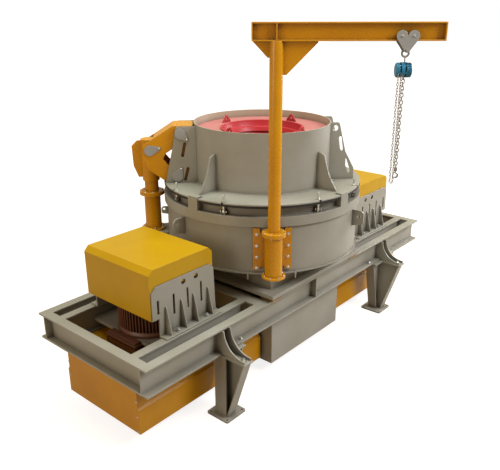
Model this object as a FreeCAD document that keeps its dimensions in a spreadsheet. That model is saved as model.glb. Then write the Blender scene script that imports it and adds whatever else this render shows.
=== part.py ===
import FreeCAD, Part
import os
import re

import Sketcher

# Vertical shaft impact crusher with two motors, a jib crane and a lid lifter.
# X runs along the frame, -Y is the jib's side, and the origin lies on the
# rotor axis at floor level. All sizes are in millimetres and degrees.

SIZES = {
    # Support frame
    "frame_half_length": 2750,  # rotor axis to the end of the frame
    "frame_half_width": 889,  # rotor axis to the outer flange edge
    "frame_top": 1084,  # floor to the top of the frame
    "girder_depth": 304,  # depth of every girder
    "flange_width": 108,  # width of an outer girder's flange
    "flange_thickness": 20,
    "web_thickness": 14,
    "web_inset": 8,  # inner flange edge to an outer girder's web
    "rail_outer": 648,  # rotor axis to the outer edge of an inner rail
    "rail_width": 100,
    "cross_outer": 1080,  # rotor axis to the outer edge of a cross girder
    "cross_width": 150,
    "stiffener_place": 0,  # rotor axis to the stiffener in a long girder
    # Legs
    "leg_along": 1642,  # rotor axis to a leg, along the frame
    "leg_across": 855,  # rotor axis to a foot's centre, across the frame
    "column_across": 870,  # rotor axis to a column's centre, across the frame
    "foot_half": 155,
    "foot_thickness": 20,
    "anchor_hole": 26,
    "anchor_inset": 32,  # foot plate edge to an anchor hole's centre
    "leg_plate": 15,
    "leg_outer_half": 91,  # leg centre to its upright outer plate
    "leg_inner_low": 65,  # leg centre to the inner plate, at the foot
    "leg_inner_high": 235,  # leg centre to the inner plate, at the top
    "leg_depth": 156,  # width of the leg's upright plates
    "outrigger_reach": 1190,  # rotor axis to the outrigger's upper tip
    "outrigger_cap": 110,  # width of the outrigger's sloping cap
    "outrigger_shift": 22,  # leg centre to the cap's middle
    "seat_reach": 1207,  # rotor axis to the outer edge of a leg's top plate
    "seat_half": 100,
    "knee_radius": 262,  # radius of the curved knee plates
    "knee_spacing": 160,
    # Body
    "isolator_side": 166,
    "isolator_inset": 28,  # base plate edge to an isolator
    "isolator_plate": 10,
    "isolator_rubber": 20,
    "base_half": 933,
    "base_thickness": 47,
    "pedestal_half": 800,
    "body_bottom": 1402,
    "body_radius": 1195,
    "body_flange": 18,  # how far the bottom flange stands out
    "body_flange_thickness": 20,
    "rim_bottom": 1965,
    "rim_radius": 1225,
    "rim_inner": 1140,
    "window_bottom": 2075,  # floor to the sill of the rim's windows
    "window_wall": 25,
    "seat_gap": 0.3,  # gap under what rests and can move
    "block_half_width": 72,
    "lug_hole": 44,
    "body_lug_low": 1745,
    "body_lug_high": 1935,
    "body_lug_reach": 125,
    "body_lug_chamfer": 60,
    "body_lug_shoulder": 45,
    "body_lug_hole_reach": 78,
    "body_lug_hole_height": 1868,
    "body_lug_bearing": 170,  # direction of the lug by the lifter
    "jib_lug_bearing": -75,  # direction of the lug by the jib
    # Cover clamps
    "clamp_spread": 26.5,  # quarter's middle to a clamp, in degrees
    "clamp_place": 1176,  # rotor axis to a clamp bolt
    "clamp_rod": 11,  # radius of a clamp bolt
    "clamp_nut": 22,  # radius over a clamp nut
    "clamp_nut_height": 20,
    "clamp_foot": 2096,  # floor to a clamp bolt's lower end
    "clamp_end": 2300,  # floor to a clamp bolt's upper end
    "clamp_slot_side": 2.5,  # clearance beside a clamp bolt in its slot
    "fork_plate": 10,
    "fork_gap": 7,  # clearance beside a clamp bolt in its fork
    "fork_half_length": 22,
    "fork_height": 50,
    # Lid
    "cover_radius": 1218,
    "cover_top": 2214,
    "cover_thickness": 24,
    "cover_throat": 334,  # radius of the hole under the funnel
    "block_clearance": 6,  # gap between a rim block and the cover
    "hopper_radius": 836,
    "hopper_wall": 12,
    "hopper_top": 2912,
    "gusset_plate": 16,
    "gusset_reach": 270,  # how far a hopper gusset stands out at its foot
    "gusset_heel": 30,  # height of a gusset's blunt heel
    "gusset_heel_cut": 8,
    "gusset_knee_reach": 182,
    "gusset_knee_height": 150,
    "gusset_back_reach": 152,
    "gusset_back_height": 215,
    "gusset_shoulder_reach": 92,
    "gusset_shoulder_height": 400,
    "gusset_head_reach": 40,
    "gusset_height": 426,
    "lid_lug_plate": 20,
    "lid_lug_spacing": 430,  # distance between the two plates of a pair
    "lid_slot_radius": 19,
    "feed_plate_top": 2820,
    "feed_plate_thickness": 16,
    "feed_opening": 505,
    "funnel_wall": 14,
    "funnel_floor": 12,
    "funnel_throat": 300,
    "funnel_bottom": 2260,
    "funnel_lip_width": 30,
    "funnel_lip_height": 14,
    "eye_radius": 590,  # rotor axis to a lifting eye
    "eye_plate": 14,
    "eye_foot_half": 48,
    "eye_head_half": 20,
    "eye_height": 62,
    "eye_hole_height": 34,
    "eye_hole": 14,
    # Lug plates that the lifter's arm holds
    "lifting_lug_top": 2888,
    "lifting_lug_head": 1030,
    "lifting_lug_shoulder": 1050,
    "lifting_lug_shoulder_height": 2860,
    "lifting_lug_neck": 1082,
    "lifting_lug_neck_height": 2680,
    "lifting_lug_waist": 1140,
    "lifting_lug_waist_height": 2430,
    "lifting_lug_foot": 1185,
    "lifting_lug_foot_height": 2230,
    "high_pin_place": 995,  # rotor axis to the upper lug pin
    "high_pin_height": 2805,
    "low_pin_place": 1043,  # rotor axis to the lower lug pin
    "low_pin_height": 2290,
    # Lug plates on the far side
    "spare_lug_head": 900,
    "spare_lug_shoulder": 915,
    "spare_lug_shoulder_height": 2895,
    "spare_lug_neck": 998,
    "spare_lug_neck_height": 2560,
    "spare_lug_foot": 1111,
    "spare_lug_foot_height": 2350,
    "spare_hole_place": 865,
    "spare_hole_height": 2842,
    # Lid lifter
    "lifter_bearing": 135,  # direction of the lifter from the rotor axis
    "lifter_offset": 1380,  # rotor axis to the lifter's post
    "lifter_foot": 1586,  # floor to the post's foot flange
    "lifter_joint": 2040,  # floor to the joint between the middle flanges
    "lifter_tube": 100,
    "lifter_upper_tube": 84,
    "lifter_upper_top": 2540,
    "lifter_flange": 152,
    "lifter_flange_thickness": 22,
    "shelf_half": 170,
    "shelf_thickness": 20,
    "shelf_reach": 130,  # post axis to the shelf's outer edge
    "shelf_rib_spacing": 240,
    "shelf_rib_plate": 16,
    "shelf_rib_depth": 278,
    "shelf_rib_nose": 78,
    "lifter_sleeve": 104,
    "lifter_bore": 86,
    "lifter_head_bottom": 2200,
    "lifter_head_top": 2712,
    "head_cap_gap": 6,  # clear height over the upper tube
    "head_fin_plate": 24,
    "head_fin_root": 90,
    "head_fin_toe": 150,
    "head_fin_reach": 215,
    "head_fin_low": 2238,
    "head_fin_belly": 2380,
    "head_fin_high": 2626,
    "head_fin_top": 2700,
    "head_pin_inset": 15,  # post axis to the head pin, towards the rotor axis
    "head_pin_height": 2600,
    "arm_half_width": 182,
    "arm_plate": 20,
    "arm_tip": 940,  # rotor axis to the arm's nose
    "arm_top": 2891,
    "arm_bend": 1086,
    "arm_back": 1440,
    "arm_back_height": 2668,
    "arm_nose_low": 2740,
    "arm_throat_high": 2640,
    "arm_throat_place": 1060,
    "arm_mouth_place": 1180,
    "arm_mouth_high": 2560,
    "arm_notch_place": 1212,
    "arm_notch_height": 2497,
    "arm_jaw_place": 1150,
    "arm_jaw_high": 2420,
    "arm_toe_place": 1000,
    "arm_toe_high": 2370,
    "arm_toe_low": 2232,
    "arm_heel_place": 1205,
    "arm_belly_place": 1395,
    "arm_belly_height": 2370,
    "arm_rump_place": 1450,
    "arm_rump_height": 2560,
    "pin_radius": 34,
    "pin_clearance": 1,
    "keeper_plate": 12,
    "keeper_radius": 62,
    "keeper_tip": 20,
    "keeper_reach": 113,  # head pin to its keeper's tip
    "keeper_rise": 28,
    "lug_keeper_reach": 92,  # a lug pin to its keeper's tip
    # Jib crane
    "jib_bearing": 225,  # direction of the jib's post from the rotor axis
    "jib_offset": 1348,  # rotor axis to the jib's post
    "jib_heading": -49.6,  # direction of the jib's arm
    "post_radius": 67,
    "post_end": 5,  # how far the post passes its sleeve's lower end
    "sleeve_radius": 94,
    "sleeve_bore": 70,
    "sleeve_bottom": 1436,
    "sleeve_top": 1938,
    "collar_radius": 131,
    "collar_thickness": 20,
    "cheek_plate": 16,
    "cheek_low": 60,  # sleeve's lower end to a cheek plate
    "cheek_high": 40,  # sleeve's upper end to a cheek plate
    "strip_half_span": 214,  # jib plane to a mounting strip's outer edge
    "strip_width": 76,
    "strip_bottom": 1463,
    "strip_top": 1953,
    "strip_thickness": 14,
    "beam_bottom": 3904,
    "beam_depth": 173,
    "beam_width": 100,
    "beam_flange": 12,
    "beam_web": 9,
    "beam_tail": 240,  # post axis to the beam's short end
    "beam_reach": 1608,  # post axis to the beam's far end
    "knee_plate": 12,
    "knee_reach": 400,
    "knee_foot": 100,
    "knee_drop": 316,
    "knee_nose": 14,
    "tail_knee_inset": 8,
    "tail_knee_foot": 86,
    "tail_knee_drop": 154,
    # Trolley, hoist and chains
    "trolley_place": 1240,  # post axis to the trolley
    "trolley_plate": 10,
    "trolley_gap": 8,  # gap between the beam and a trolley plate
    "trolley_lobe": 54,  # radius of a trolley plate's lobes
    "wheel_radius": 34,
    "wheel_reach": 30,  # how far a wheel reaches over the beam's flange
    "axle_half": 56,
    "trolley_nose": 26,
    "trolley_drop": 128,  # wheel axles to the trolley's eye
    "trolley_pin": 12,
    "trolley_link_half": 12,
    "hoist_top": 3710,
    "hoist_bottom": 3556,
    "hoist_inset": 8,  # trolley to the hoist's axis
    "drum_inner": 18,
    "drum_outer": 70,
    "hoist_core_half": 58,
    "hoist_core_drop": 16,
    "chain_rod": 9,
    "hook_top": 2658,
    "hook_shank": 18,
    "hook_shank_length": 45,
    "hook_radius": 26,
    "hook_half": 9,
    "hand_chain_bottom": 2507,
    "hand_chain_inset": 60,  # trolley to the hand chain
    "hand_chain_side": 58,  # beam's plane to the hand chain
    "hand_chain_half": 22,  # half the spread of the hand chain's strands
    # Drives
    "hood_near": 1463,  # rotor axis to the near face of a motor hood
    "hood_far": 2342,  # rotor axis to the far face of a motor hood
    "hood_half_width": 516,
    "hood_top": 1839,
    "hood_bottom": 1296,
    "hood_chamfer": 55,
    "hood_sheet": 6,
    "hood_lap": 70,  # how far a hood's side reaches down behind its bracket
    "hood_margin": 26,  # hood's end to the opening behind a bracket
    "bracket_plate": 14,
    "bracket_foot": 16,
    "bracket_foot_width": 100,
    "bracket_near": 1440,
    "bracket_far": 2245,
    "bracket_top": 1655,
    "bracket_corner": 57,  # cut at a bracket's upper corners
    "bracket_end": 10,  # hood's far face to the bracket's edge
    "bracket_slot_half": 14,
    "bracket_slot_high": 1501,
    "bracket_slot_low": 1269,
    "bracket_notch_low": 1346,
    "bracket_slot_first": 2255,
    "bracket_slot_second": 2044,
    "bracket_slot_third": 1850,
    "bracket_slot_fourth": 1654,
    "bracket_hole": 30,
    "bracket_hole_first": 1903,
    "bracket_hole_second": 1723,
    "bracket_hole_height": 1587,
    "rib_reach": 88,  # how far a rib stands out at its foot
    "rib_nose": 20,
    "rib_drop": 16,
    "rib_top": 1410,
    "rib_plate": 12,
    "rib_first": 2161,
    "rib_second": 1949,
    "rib_third": 1776,
    "rib_fourth": 1562,
    "motor_middle": 1930,
    "motor_radius": 300,
    "motor_fin_radius": 345,
    "motor_fin_root": 30,
    "motor_fin_half": 6,
    "motor_fin_low": 120,
    "motor_fin_high": 60,
    "motor_bottom": 930,
    "motor_top": 1700,
    "motor_bed_half": 330,
    "motor_bed_thickness": 30,
    "motor_ledge_near": 250,
    "motor_ledge_far": 380,
    "motor_ledge_half": 230,
    "motor_ledge_height": 60,
    "guard_far": 2644,
    "guard_near": 745,
    "guard_half_width": 601,
    "guard_bottom": 167,
    "guard_fold": 455,
    "guard_inset": 22,
    # Discharge chute
    "chute_half_length": 713,
    "chute_half_width": 750,
    "chute_bottom": 125,
    "chute_wall": 12,
    "chute_lip": 60,  # how far the chute's lip reaches under the frame
}

# Tools reach past what they cut by this much, and welded pieces start this deep.
PAST = 5

doc = FreeCAD.newDocument("impact_crusher")
sheet = doc.addObject("Spreadsheet::Sheet", "Sizes")
for row, (alias, value) in enumerate(SIZES.items(), start=1):
    sheet.set("A%d" % row, alias)
    sheet.set("B%d" % row, str(value))
    sheet.setAlias("B%d" % row, alias)


def link(text):
    """Turn size names in an expression into links to the sheet."""
    def swap(found):
        word = found.group(0)
        return "Sizes." + word if word in SIZES else word
    return re.sub(r"[a-z]+(?:_[a-z]+)*", swap, text)


def bind(thing, values):
    """Bind each property of a thing to its expression."""
    for name, text in values.items():
        thing.setExpression(name, link(text))


def mirrored(sign, low, high):
    """Give the range low..high, or its mirror image for a sign of -1."""
    return (low, high) if sign > 0 else ("-(%s)" % high, "-(%s)" % low)


def around(middle, half):
    """Give a range about its middle."""
    return ("(%s) - (%s)" % (middle, half), "(%s) + (%s)" % (middle, half))


def past(pair):
    """Give a range that reaches past another at both ends."""
    return ("%s - %d" % (pair[0], PAST), "%s + %d" % (pair[1], PAST))


def block(name, along, across, up):
    """Make a box from three ranges."""
    box = doc.addObject("Part::Box", name)
    for letter, side, pair in (("x", "Length", along), ("y", "Width", across), ("z", "Height", up)):
        bind(box, {side: "(%s) - (%s)" % (pair[1], pair[0]), "Placement.Base." + letter: pair[0]})
    return box


# Axis and angle that lay an upright cylinder along another axis
TURNS = {"z": (0, 0, 1, 0), "y": (1, 0, 0, -90), "x": (0, 1, 0, 90)}


def rod(name, radius, start, finish, centre=("0", "0"), axis="z"):
    """Make a cylinder along an axis; centre holds its other two places."""
    thing = doc.addObject("Part::Cylinder", name)
    way = TURNS[axis]
    thing.Placement = FreeCAD.Placement(FreeCAD.Vector(), FreeCAD.Rotation(FreeCAD.Vector(*way[:3]), way[3]))
    places = dict(zip([letter for letter in "xyz" if letter != axis], centre))
    places[axis] = start
    bind(thing, {"Radius": radius, "Height": "(%s) - (%s)" % (finish, start)})
    bind(thing, {"Placement.Base." + letter: text for letter, text in places.items()})
    return thing


def cone(name, low_radius, high_radius, start, finish):
    """Make a cone about the upright axis."""
    thing = doc.addObject("Part::Cone", name)
    bind(thing, {"Radius1": low_radius, "Radius2": high_radius, "Height": "(%s) - (%s)" % (finish, start),
                 "Placement.Base.z": start})
    return thing


PLANES = {"xy": "XY_Plane", "xz": "XZ_Plane", "yz": "YZ_Plane"}


def plate(name, plane, middle, thickness, corners):
    """Pad a polygon by half its thickness to each side of a plane.

    The corners are pairs of expressions, each bound to its vertex. The plane
    lies at the given place along its own normal.
    """
    body = doc.addObject("PartDesign::Body", name)
    sketch = body.newObject("Sketcher::SketchObject", name + "_outline")
    base = [part for part in body.Origin.OriginFeatures if part.Role == PLANES[plane]][0]
    sketch.AttachmentSupport = [(base, "")]
    sketch.MapMode = "FlatFace"
    normal = "-(%s)" % middle if plane == "xz" else middle
    bind(sketch, {"AttachmentOffset.Base.z": normal})
    count = len(corners)
    seeds = [FreeCAD.Vector(100 + 10 * index, 100 + index * index, 0) for index in range(count)]
    for index in range(count):
        sketch.addGeometry(Part.LineSegment(seeds[index], seeds[(index + 1) % count]), False)
    for index in range(count):
        sketch.addConstraint(Sketcher.Constraint("Coincident", index, 2, (index + 1) % count, 1))
    for index, (first, second) in enumerate(corners):
        for kind, text, start in (("DistanceX", first, seeds[index].x), ("DistanceY", second, seeds[index].y)):
            number = sketch.addConstraint(Sketcher.Constraint(kind, -1, 1, index, 1, start))
            bind(sketch, {"Constraints[%d]" % number: text})
    pad = body.newObject("PartDesign::Pad", name + "_pad")
    pad.Profile = sketch
    pad.Midplane = True
    bind(pad, {"Length": thickness})
    body.Tip = pad
    return body


def fuse(name, pieces):
    """Weld pieces into one solid."""
    thing = doc.addObject("Part::MultiFuse", name)
    thing.Shapes = pieces
    thing.Refine = True
    return thing


def group(name, pieces):
    """Keep separate solids together."""
    thing = doc.addObject("Part::Compound", name)
    thing.Links = pieces
    return thing


def cut(name, piece, tools):
    """Take tools away from a piece."""
    tool = tools[0] if len(tools) == 1 else fuse(name + "_tools", tools)
    thing = doc.addObject("Part::Cut", name)
    thing.Base = piece
    thing.Tool = tool
    return thing


def turn(thing, degrees, x="0", y="0"):
    """Turn a thing about the upright axis, then move it."""
    thing.Placement = FreeCAD.Placement(FreeCAD.Vector(), FreeCAD.Rotation(FreeCAD.Vector(0, 0, 1), 1))
    bind(thing, {"Placement.Rotation.Angle": degrees, "Placement.Base.x": x, "Placement.Base.y": y})
    return thing


NODES = []


def node(label, thing):
    """Name a finished sub-part."""
    thing.Label = label
    NODES.append(thing)


SIDES = (("left", -1), ("right", 1))
FACES = (("front", -1), ("back", 1))

# Heights of the girders' flanges and web
TOP_FLANGE = ("frame_top - flange_thickness", "frame_top")
LOW_FLANGE = ("frame_top - girder_depth", "frame_top - girder_depth + flange_thickness")
WEB_UP = (LOW_FLANGE[1], TOP_FLANGE[0])
UNDER_FRAME = "frame_top - girder_depth"

# Outer girders are channels: their webs stand near the inner flange edges
LONG_WEB = "frame_half_width - flange_width + web_inset + web_thickness / 2"
END_WEB = "frame_half_length - flange_width + web_inset + web_thickness / 2"


def girder(name, along, across, web_along, web_across, extra=()):
    """Weld a girder from two flanges and a web."""
    pieces = [block(name + "_top", along, across, TOP_FLANGE), block(name + "_low", along, across, LOW_FLANGE),
              block(name + "_web", web_along, web_across, WEB_UP)]
    return fuse(name, pieces + list(extra))


def frame():
    """Make the girders of the support frame."""
    full = ("-frame_half_length", "frame_half_length")
    for face, sign in FACES:
        across = mirrored(sign, "frame_half_width - flange_width", "frame_half_width")
        web = mirrored(sign, *around(LONG_WEB, "web_thickness / 2"))
        fin = block(face + "_fin", around("stiffener_place", "web_thickness / 2"), across, WEB_UP)
        node(face + "_girder", girder(face + "_girder", full, across, full, web, [fin]))
    between = ("-(frame_half_width - flange_width)", "frame_half_width - flange_width")
    to_web = ("-(%s - web_thickness / 2)" % LONG_WEB, "%s - web_thickness / 2" % LONG_WEB)
    for side, sign in SIDES:
        name = side + "_end_girder"
        along = mirrored(sign, "frame_half_length - flange_width", "frame_half_length")
        web = mirrored(sign, *around(END_WEB, "web_thickness / 2"))
        node(name, girder(name, along, between, web, to_web))
        name = side + "_cross_girder"
        along = mirrored(sign, "cross_outer - cross_width", "cross_outer")
        web = mirrored(sign, *around("cross_outer - cross_width / 2", "web_thickness / 2"))
        node(name, girder(name, along, between, web, to_web))
    rails = []
    for side, sign in SIDES:
        for face, way in FACES:
            along = mirrored(sign, "cross_outer", "frame_half_length - flange_width")
            across = mirrored(way, "rail_outer - rail_width", "rail_outer")
            web = mirrored(way, *around("rail_outer - rail_width / 2", "web_thickness / 2"))
            rails.append(girder("rail_%s_%s" % (side, face), along, across, along, web))
    node("inner_rails", group("inner_rails", rails))


def anchor_holes(name, sign, way):
    """Make the drills of a foot plate's four anchor holes."""
    holes = []
    for first in (-1, 1):
        for second in (-1, 1):
            place = ("%d * leg_along + %d * (foot_half - anchor_inset)" % (sign, first),
                     "%d * leg_across + %d * (foot_half - anchor_inset)" % (way, second))
            holes.append(rod("%s_hole_%d%d" % (name, first + 1, second + 1), "anchor_hole / 2",
                             *past(("0", "foot_thickness")), place))
    return holes


def knees(name, sign, way):
    """Make the two curved knee plates and the filler in the girder's side."""
    plates = []
    for number in (-1, 1):
        at = "%d * leg_along + %d * knee_spacing / 2" % (sign, number)
        plates.append(plate("%s_knee_%d" % (name, number + 1), "yz", at, "leg_plate",
                            [("%d * frame_half_width" % way, UNDER_FRAME),
                             ("%d * frame_half_width" % way, TOP_FLANGE[0]),
                             ("%d * (seat_reach - leg_plate)" % way, UNDER_FRAME + " + leg_plate"),
                             ("%d * (seat_reach - leg_plate)" % way, UNDER_FRAME)]))
    plates.append(block(name + "_filler", mirrored(sign, *around("leg_along", "knee_spacing / 2")),
                        mirrored(way, LONG_WEB + " + web_thickness / 2", "frame_half_width + leg_plate"), WEB_UP))
    middle = ("%d * (seat_reach - 2 * leg_plate)" % way, UNDER_FRAME + " + 2 * leg_plate + knee_radius")
    scoop = rod(name + "_scoop", "knee_radius", *past(around("%d * leg_along" % sign, "seat_half")), middle, "x")
    return cut(name + "_knees", fuse(name + "_blanks", plates), [scoop])


def leg(side, sign, face, way):
    """Make one leg with its foot, column, outrigger, seat and knee plates."""
    name = "%s_%s_leg" % (face, side)
    seat = (UNDER_FRAME + " - foot_thickness", UNDER_FRAME)
    up = ("foot_thickness", seat[0])
    foot = block(name + "_foot", mirrored(sign, *around("leg_along", "foot_half")),
                 mirrored(way, *around("leg_across", "foot_half")), ("0", "foot_thickness"))
    depth = mirrored(way, *around("column_across", "leg_depth / 2"))
    outer = block(name + "_outer", mirrored(sign, "leg_along + leg_outer_half - leg_plate",
                                            "leg_along + leg_outer_half"), depth, up)

    def spot(distance, height):
        return ("%d * (leg_along %s)" % (sign, distance), height)

    inner = plate(name + "_inner", "xz", "%d * column_across" % way, "leg_depth",
                  [spot("- leg_inner_low", up[0]), spot("- leg_inner_high", up[1]),
                   spot("- leg_inner_high + leg_plate", up[1]), spot("- leg_inner_low + leg_plate", up[0])])
    web = plate(name + "_web", "xz", "%d * column_across" % way, "leg_plate",
                [spot("- leg_inner_low", up[0]), spot("- leg_inner_high", up[1]),
                 spot("+ leg_outer_half", up[1]), spot("+ leg_outer_half", up[0])])
    root = "column_across + leg_plate / 2"
    low = "column_across + leg_depth / 2"
    middle = "%d * (leg_along + outrigger_shift)" % sign
    wing = plate(name + "_wing", "yz", middle, "leg_plate",
                 [("%d * (%s)" % (way, root), up[0]), ("%d * (%s)" % (way, root), up[1]),
                  ("%d * outrigger_reach" % way, up[1]), ("%d * (%s)" % (way, low), up[0])])
    cap = plate(name + "_cap", "yz", middle, "outrigger_cap",
                [("%d * (%s)" % (way, low), up[0]), ("%d * (outrigger_reach - leg_plate)" % way, up[1]),
                 ("%d * outrigger_reach" % way, up[1]), ("%d * (%s + leg_plate)" % (way, low), up[0])])
    top = block(name + "_seat", mirrored(sign, "leg_along - leg_inner_high", "leg_along + seat_half"),
                mirrored(way, "column_across - leg_depth / 2", "seat_reach"), seat)
    sound = cut(name + "_drilled", foot, anchor_holes(name, sign, way))
    node(name, fuse(name, [sound, outer, inner, web, wing, cap, top, knees(name, sign, way)]))


def legs():
    """Make the four legs."""
    for side, sign in SIDES:
        for face, way in FACES:
            leg(side, sign, face, way)


# Body
BASE_TOP = "frame_top + 2 * isolator_plate + isolator_rubber + base_thickness"
QUARTERS = (45, 135, 225, 315)


def four_ways(name, reach, half, up):
    """Make a box across the rotor axis's four directions, from reach[0] to reach[1]."""
    boxes = []
    for number in range(4):
        box = block("%s_%d" % (name, number), reach, around("0", half), up)
        boxes.append(turn(group("%s_turned_%d" % (name, number), [box]), str(90 * number)))
    return boxes


def isolators():
    """Make the plates and rubber blocks under the base's corners."""
    plates, pads = [], []
    reach = ("base_half - isolator_inset - isolator_side", "base_half - isolator_inset")
    for first in (-1, 1):
        for second in (-1, 1):
            tag = "%d%d" % (first + 1, second + 1)
            along = mirrored(first, *reach)
            across = mirrored(second, *reach)
            low = "frame_top"
            for level in ("low", "high"):
                plates.append(block("isolator_%s_%s" % (level, tag), along, across, (low, low + " + isolator_plate")))
                low = "frame_top + isolator_plate + isolator_rubber"
            pads.append(block("rubber_" + tag, along, across,
                              ("frame_top + isolator_plate", "frame_top + isolator_plate + isolator_rubber")))
    node("isolator_plates", group("isolator_plates", plates))
    node("isolator_pads", group("isolator_pads", pads))


def fork(number):
    """Make one clamp's fork, which stands on the window sill."""
    up = ("window_bottom - %d" % PAST, "window_bottom + fork_height")
    reach = around("clamp_place", "fork_half_length")
    inner = "clamp_rod + fork_gap"
    prongs = [block("prong_%d_%d" % (number, way + 1), reach, mirrored(way, inner, inner + " + fork_plate"), up)
              for way in (-1, 1)]
    return prongs


def clamp_bearings():
    """Give the eight clamps' directions as expressions."""
    return ["%d %s clamp_spread" % (quarter, way) for quarter in QUARTERS for way in ("-", "+")]


def body():
    """Make the base, pedestal, body, rim and lugs."""
    isolators()
    square = ("-base_half", "base_half")
    slab = block("base_slab", square, square, (BASE_TOP + " - base_thickness", BASE_TOP))
    inside = ("-pedestal_half", "pedestal_half")
    pedestal = block("pedestal", inside, inside, (BASE_TOP, "body_bottom"))
    node("body_base", fuse("body_base", [slab, pedestal]))

    drum = rod("body_drum", "body_radius", "body_bottom", "rim_bottom")
    flange = rod("body_bottom_flange", "body_radius + body_flange", "body_bottom",
                 "body_bottom + body_flange_thickness")
    node("body_shell", fuse("body_shell", [drum, flange]))

    seat = "cover_top - cover_thickness - seat_gap"
    band = cut("rim_band", rod("rim_outside", "rim_radius", "rim_bottom", "window_bottom"),
               [rod("rim_inside", "rim_inner", *past(("rim_bottom", "window_bottom")))])
    wall = cut("window_backing", rod("wall_outside", "rim_inner", "rim_bottom", seat),
               [rod("wall_inside", "rim_inner - window_wall", *past(("rim_bottom", seat)))])
    ring = cut("block_ring", rod("blocks_outside", "rim_radius", "window_bottom - %d" % PAST, "cover_top"),
               [rod("blocks_inside", "rim_inner", *past(("window_bottom - %d" % PAST, "cover_top")))])
    masks = four_ways("block_mask", past(("rim_inner - window_wall", "rim_radius")), "block_half_width",
                      ("window_bottom - %d" % PAST, "cover_top"))
    blocks = doc.addObject("Part::Common", "rim_blocks")
    blocks.Base = ring
    blocks.Tool = group("block_masks", masks)
    forks = [turn(group("fork_%d" % number, fork(number)), bearing)
             for number, bearing in enumerate(clamp_bearings())]
    node("rim_ring", fuse("rim_ring", [band, wall, blocks] + forks))

    lugs = []
    for number, bearing in enumerate(("body_lug_bearing", "jib_lug_bearing")):
        tip = "body_radius + body_lug_reach"
        outline = plate("body_lug_%d" % number, "xz", "0", "lid_lug_plate",
                        [("body_radius - %d" % PAST, "body_lug_low"), ("body_radius - %d" % PAST, "body_lug_high"),
                         (tip + " - body_lug_chamfer", "body_lug_high"), (tip, "body_lug_high - body_lug_shoulder"),
                         (tip, "body_lug_high - body_lug_shoulder - body_lug_chamfer")])
        hole = rod("body_lug_hole_%d" % number, "lug_hole / 2", "-lid_lug_plate", "lid_lug_plate",
                   ("body_radius + body_lug_hole_reach", "body_lug_hole_height"), "y")
        drum = rod("body_lug_drum_%d" % number, "body_radius", *past(("body_lug_low", "body_lug_high")))
        lugs.append(turn(cut("body_lug_cut_%d" % number, outline, [hole, drum]), bearing))
    node("body_lugs", group("body_lugs", lugs))


# Lid
def clamps():
    """Make the eight bolts that hold the cover down."""
    bolts = []
    for number, bearing in enumerate(clamp_bearings()):
        shank = rod("clamp_shank_%d" % number, "clamp_rod", "clamp_foot", "clamp_end", ("clamp_place", "0"))
        nut = rod("clamp_nut_%d" % number, "clamp_nut", "cover_top", "cover_top + clamp_nut_height",
                  ("clamp_place", "0"))
        bolts.append(turn(fuse("clamp_%d" % number, [shank, nut]), bearing))
    node("clamp_bolts", group("clamp_bolts", bolts))


def cover():
    """Make the cover plate with its rim notches, clamp slots and throat."""
    up = ("cover_top - cover_thickness", "cover_top")
    disc = rod("cover_disc", "cover_radius", *up)
    notches = four_ways("cover_notch", ("rim_inner - block_clearance", "rim_radius + %d" % PAST),
                        "block_half_width + block_clearance", past(up))
    slots = []
    for number, bearing in enumerate(clamp_bearings()):
        half = "clamp_rod + clamp_slot_side"
        slot = [block("clamp_slot_%d" % number, ("clamp_place", "rim_radius + %d" % PAST), around("0", half), past(up)),
                rod("clamp_slot_end_%d" % number, half, *past(up), ("clamp_place", "0"))]
        slots.append(turn(fuse("clamp_slot_turned_%d" % number, slot), bearing))
    throat = rod("cover_hole", "cover_throat", *past(up))
    node("cover_plate", cut("cover_plate", disc, notches + slots + [throat]))


def hopper():
    """Make the feed hopper and its four gussets."""
    node("feed_hopper", cut("feed_hopper", rod("hopper_outside", "hopper_radius", "cover_top", "hopper_top"),
                            [rod("hopper_inside", "hopper_radius - hopper_wall", *past(("cover_top", "hopper_top")))]))
    outline = [("hopper_radius - %d" % PAST, "cover_top"), ("hopper_radius - %d" % PAST, "cover_top + gusset_height")]
    for reach, height in (("gusset_head_reach", "gusset_height"),
                          ("gusset_shoulder_reach", "gusset_shoulder_height"),
                          ("gusset_back_reach", "gusset_back_height"), ("gusset_knee_reach", "gusset_knee_height"),
                          ("gusset_reach - gusset_heel_cut", "gusset_heel"), ("gusset_reach", "0")):
        outline.append(("hopper_radius + " + reach, "cover_top + " + height))
    gussets = [turn(plate("gusset_%d" % number, "xz", "0", "gusset_plate", outline), str(90 * number))
               for number in range(4)]
    inside = rod("gusset_drum", "hopper_radius", "cover_top - %d" % PAST, "hopper_top")
    node("hopper_gussets", cut("hopper_gussets", group("gusset_plates", gussets), [inside]))


def lug_pair(label, bearing, outline, slots, bores):
    """Make a pair of lug plates with slanted slots and pin bores."""
    pair = []
    for number in (-1, 1):
        middle = "%d * lid_lug_spacing / 2" % number
        thick = around(middle, "lid_lug_plate")
        tag = "%s_%d" % (label, number + 1)
        tools = []
        for place, (first, high, second, deep) in enumerate(slots):
            tools.append(plate("%s_slot_%d" % (tag, place), "xz", middle, "2 * lid_lug_plate",
                               [(first + " - lid_slot_radius", high), (first + " + lid_slot_radius", high),
                                (second + " + lid_slot_radius", deep), (second + " - lid_slot_radius", deep)]))
            for end, spot in enumerate(((first, high), (second, deep))):
                tools.append(rod("%s_end_%d%d" % (tag, place, end), "lid_slot_radius", *thick, spot, "y"))
        for place, spot in enumerate(bores):
            tools.append(rod("%s_bore_%d" % (tag, place), "pin_radius + pin_clearance", *thick, spot, "y"))
        pair.append(cut(tag + "_cut", plate(tag, "xz", middle, "lid_lug_plate", outline), tools))
    outside = rod(label + "_drum", "hopper_radius", *past(("cover_top", "hopper_top")))
    node(label, turn(cut(label, group(label + "_pair", pair), [outside]), bearing))


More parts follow.
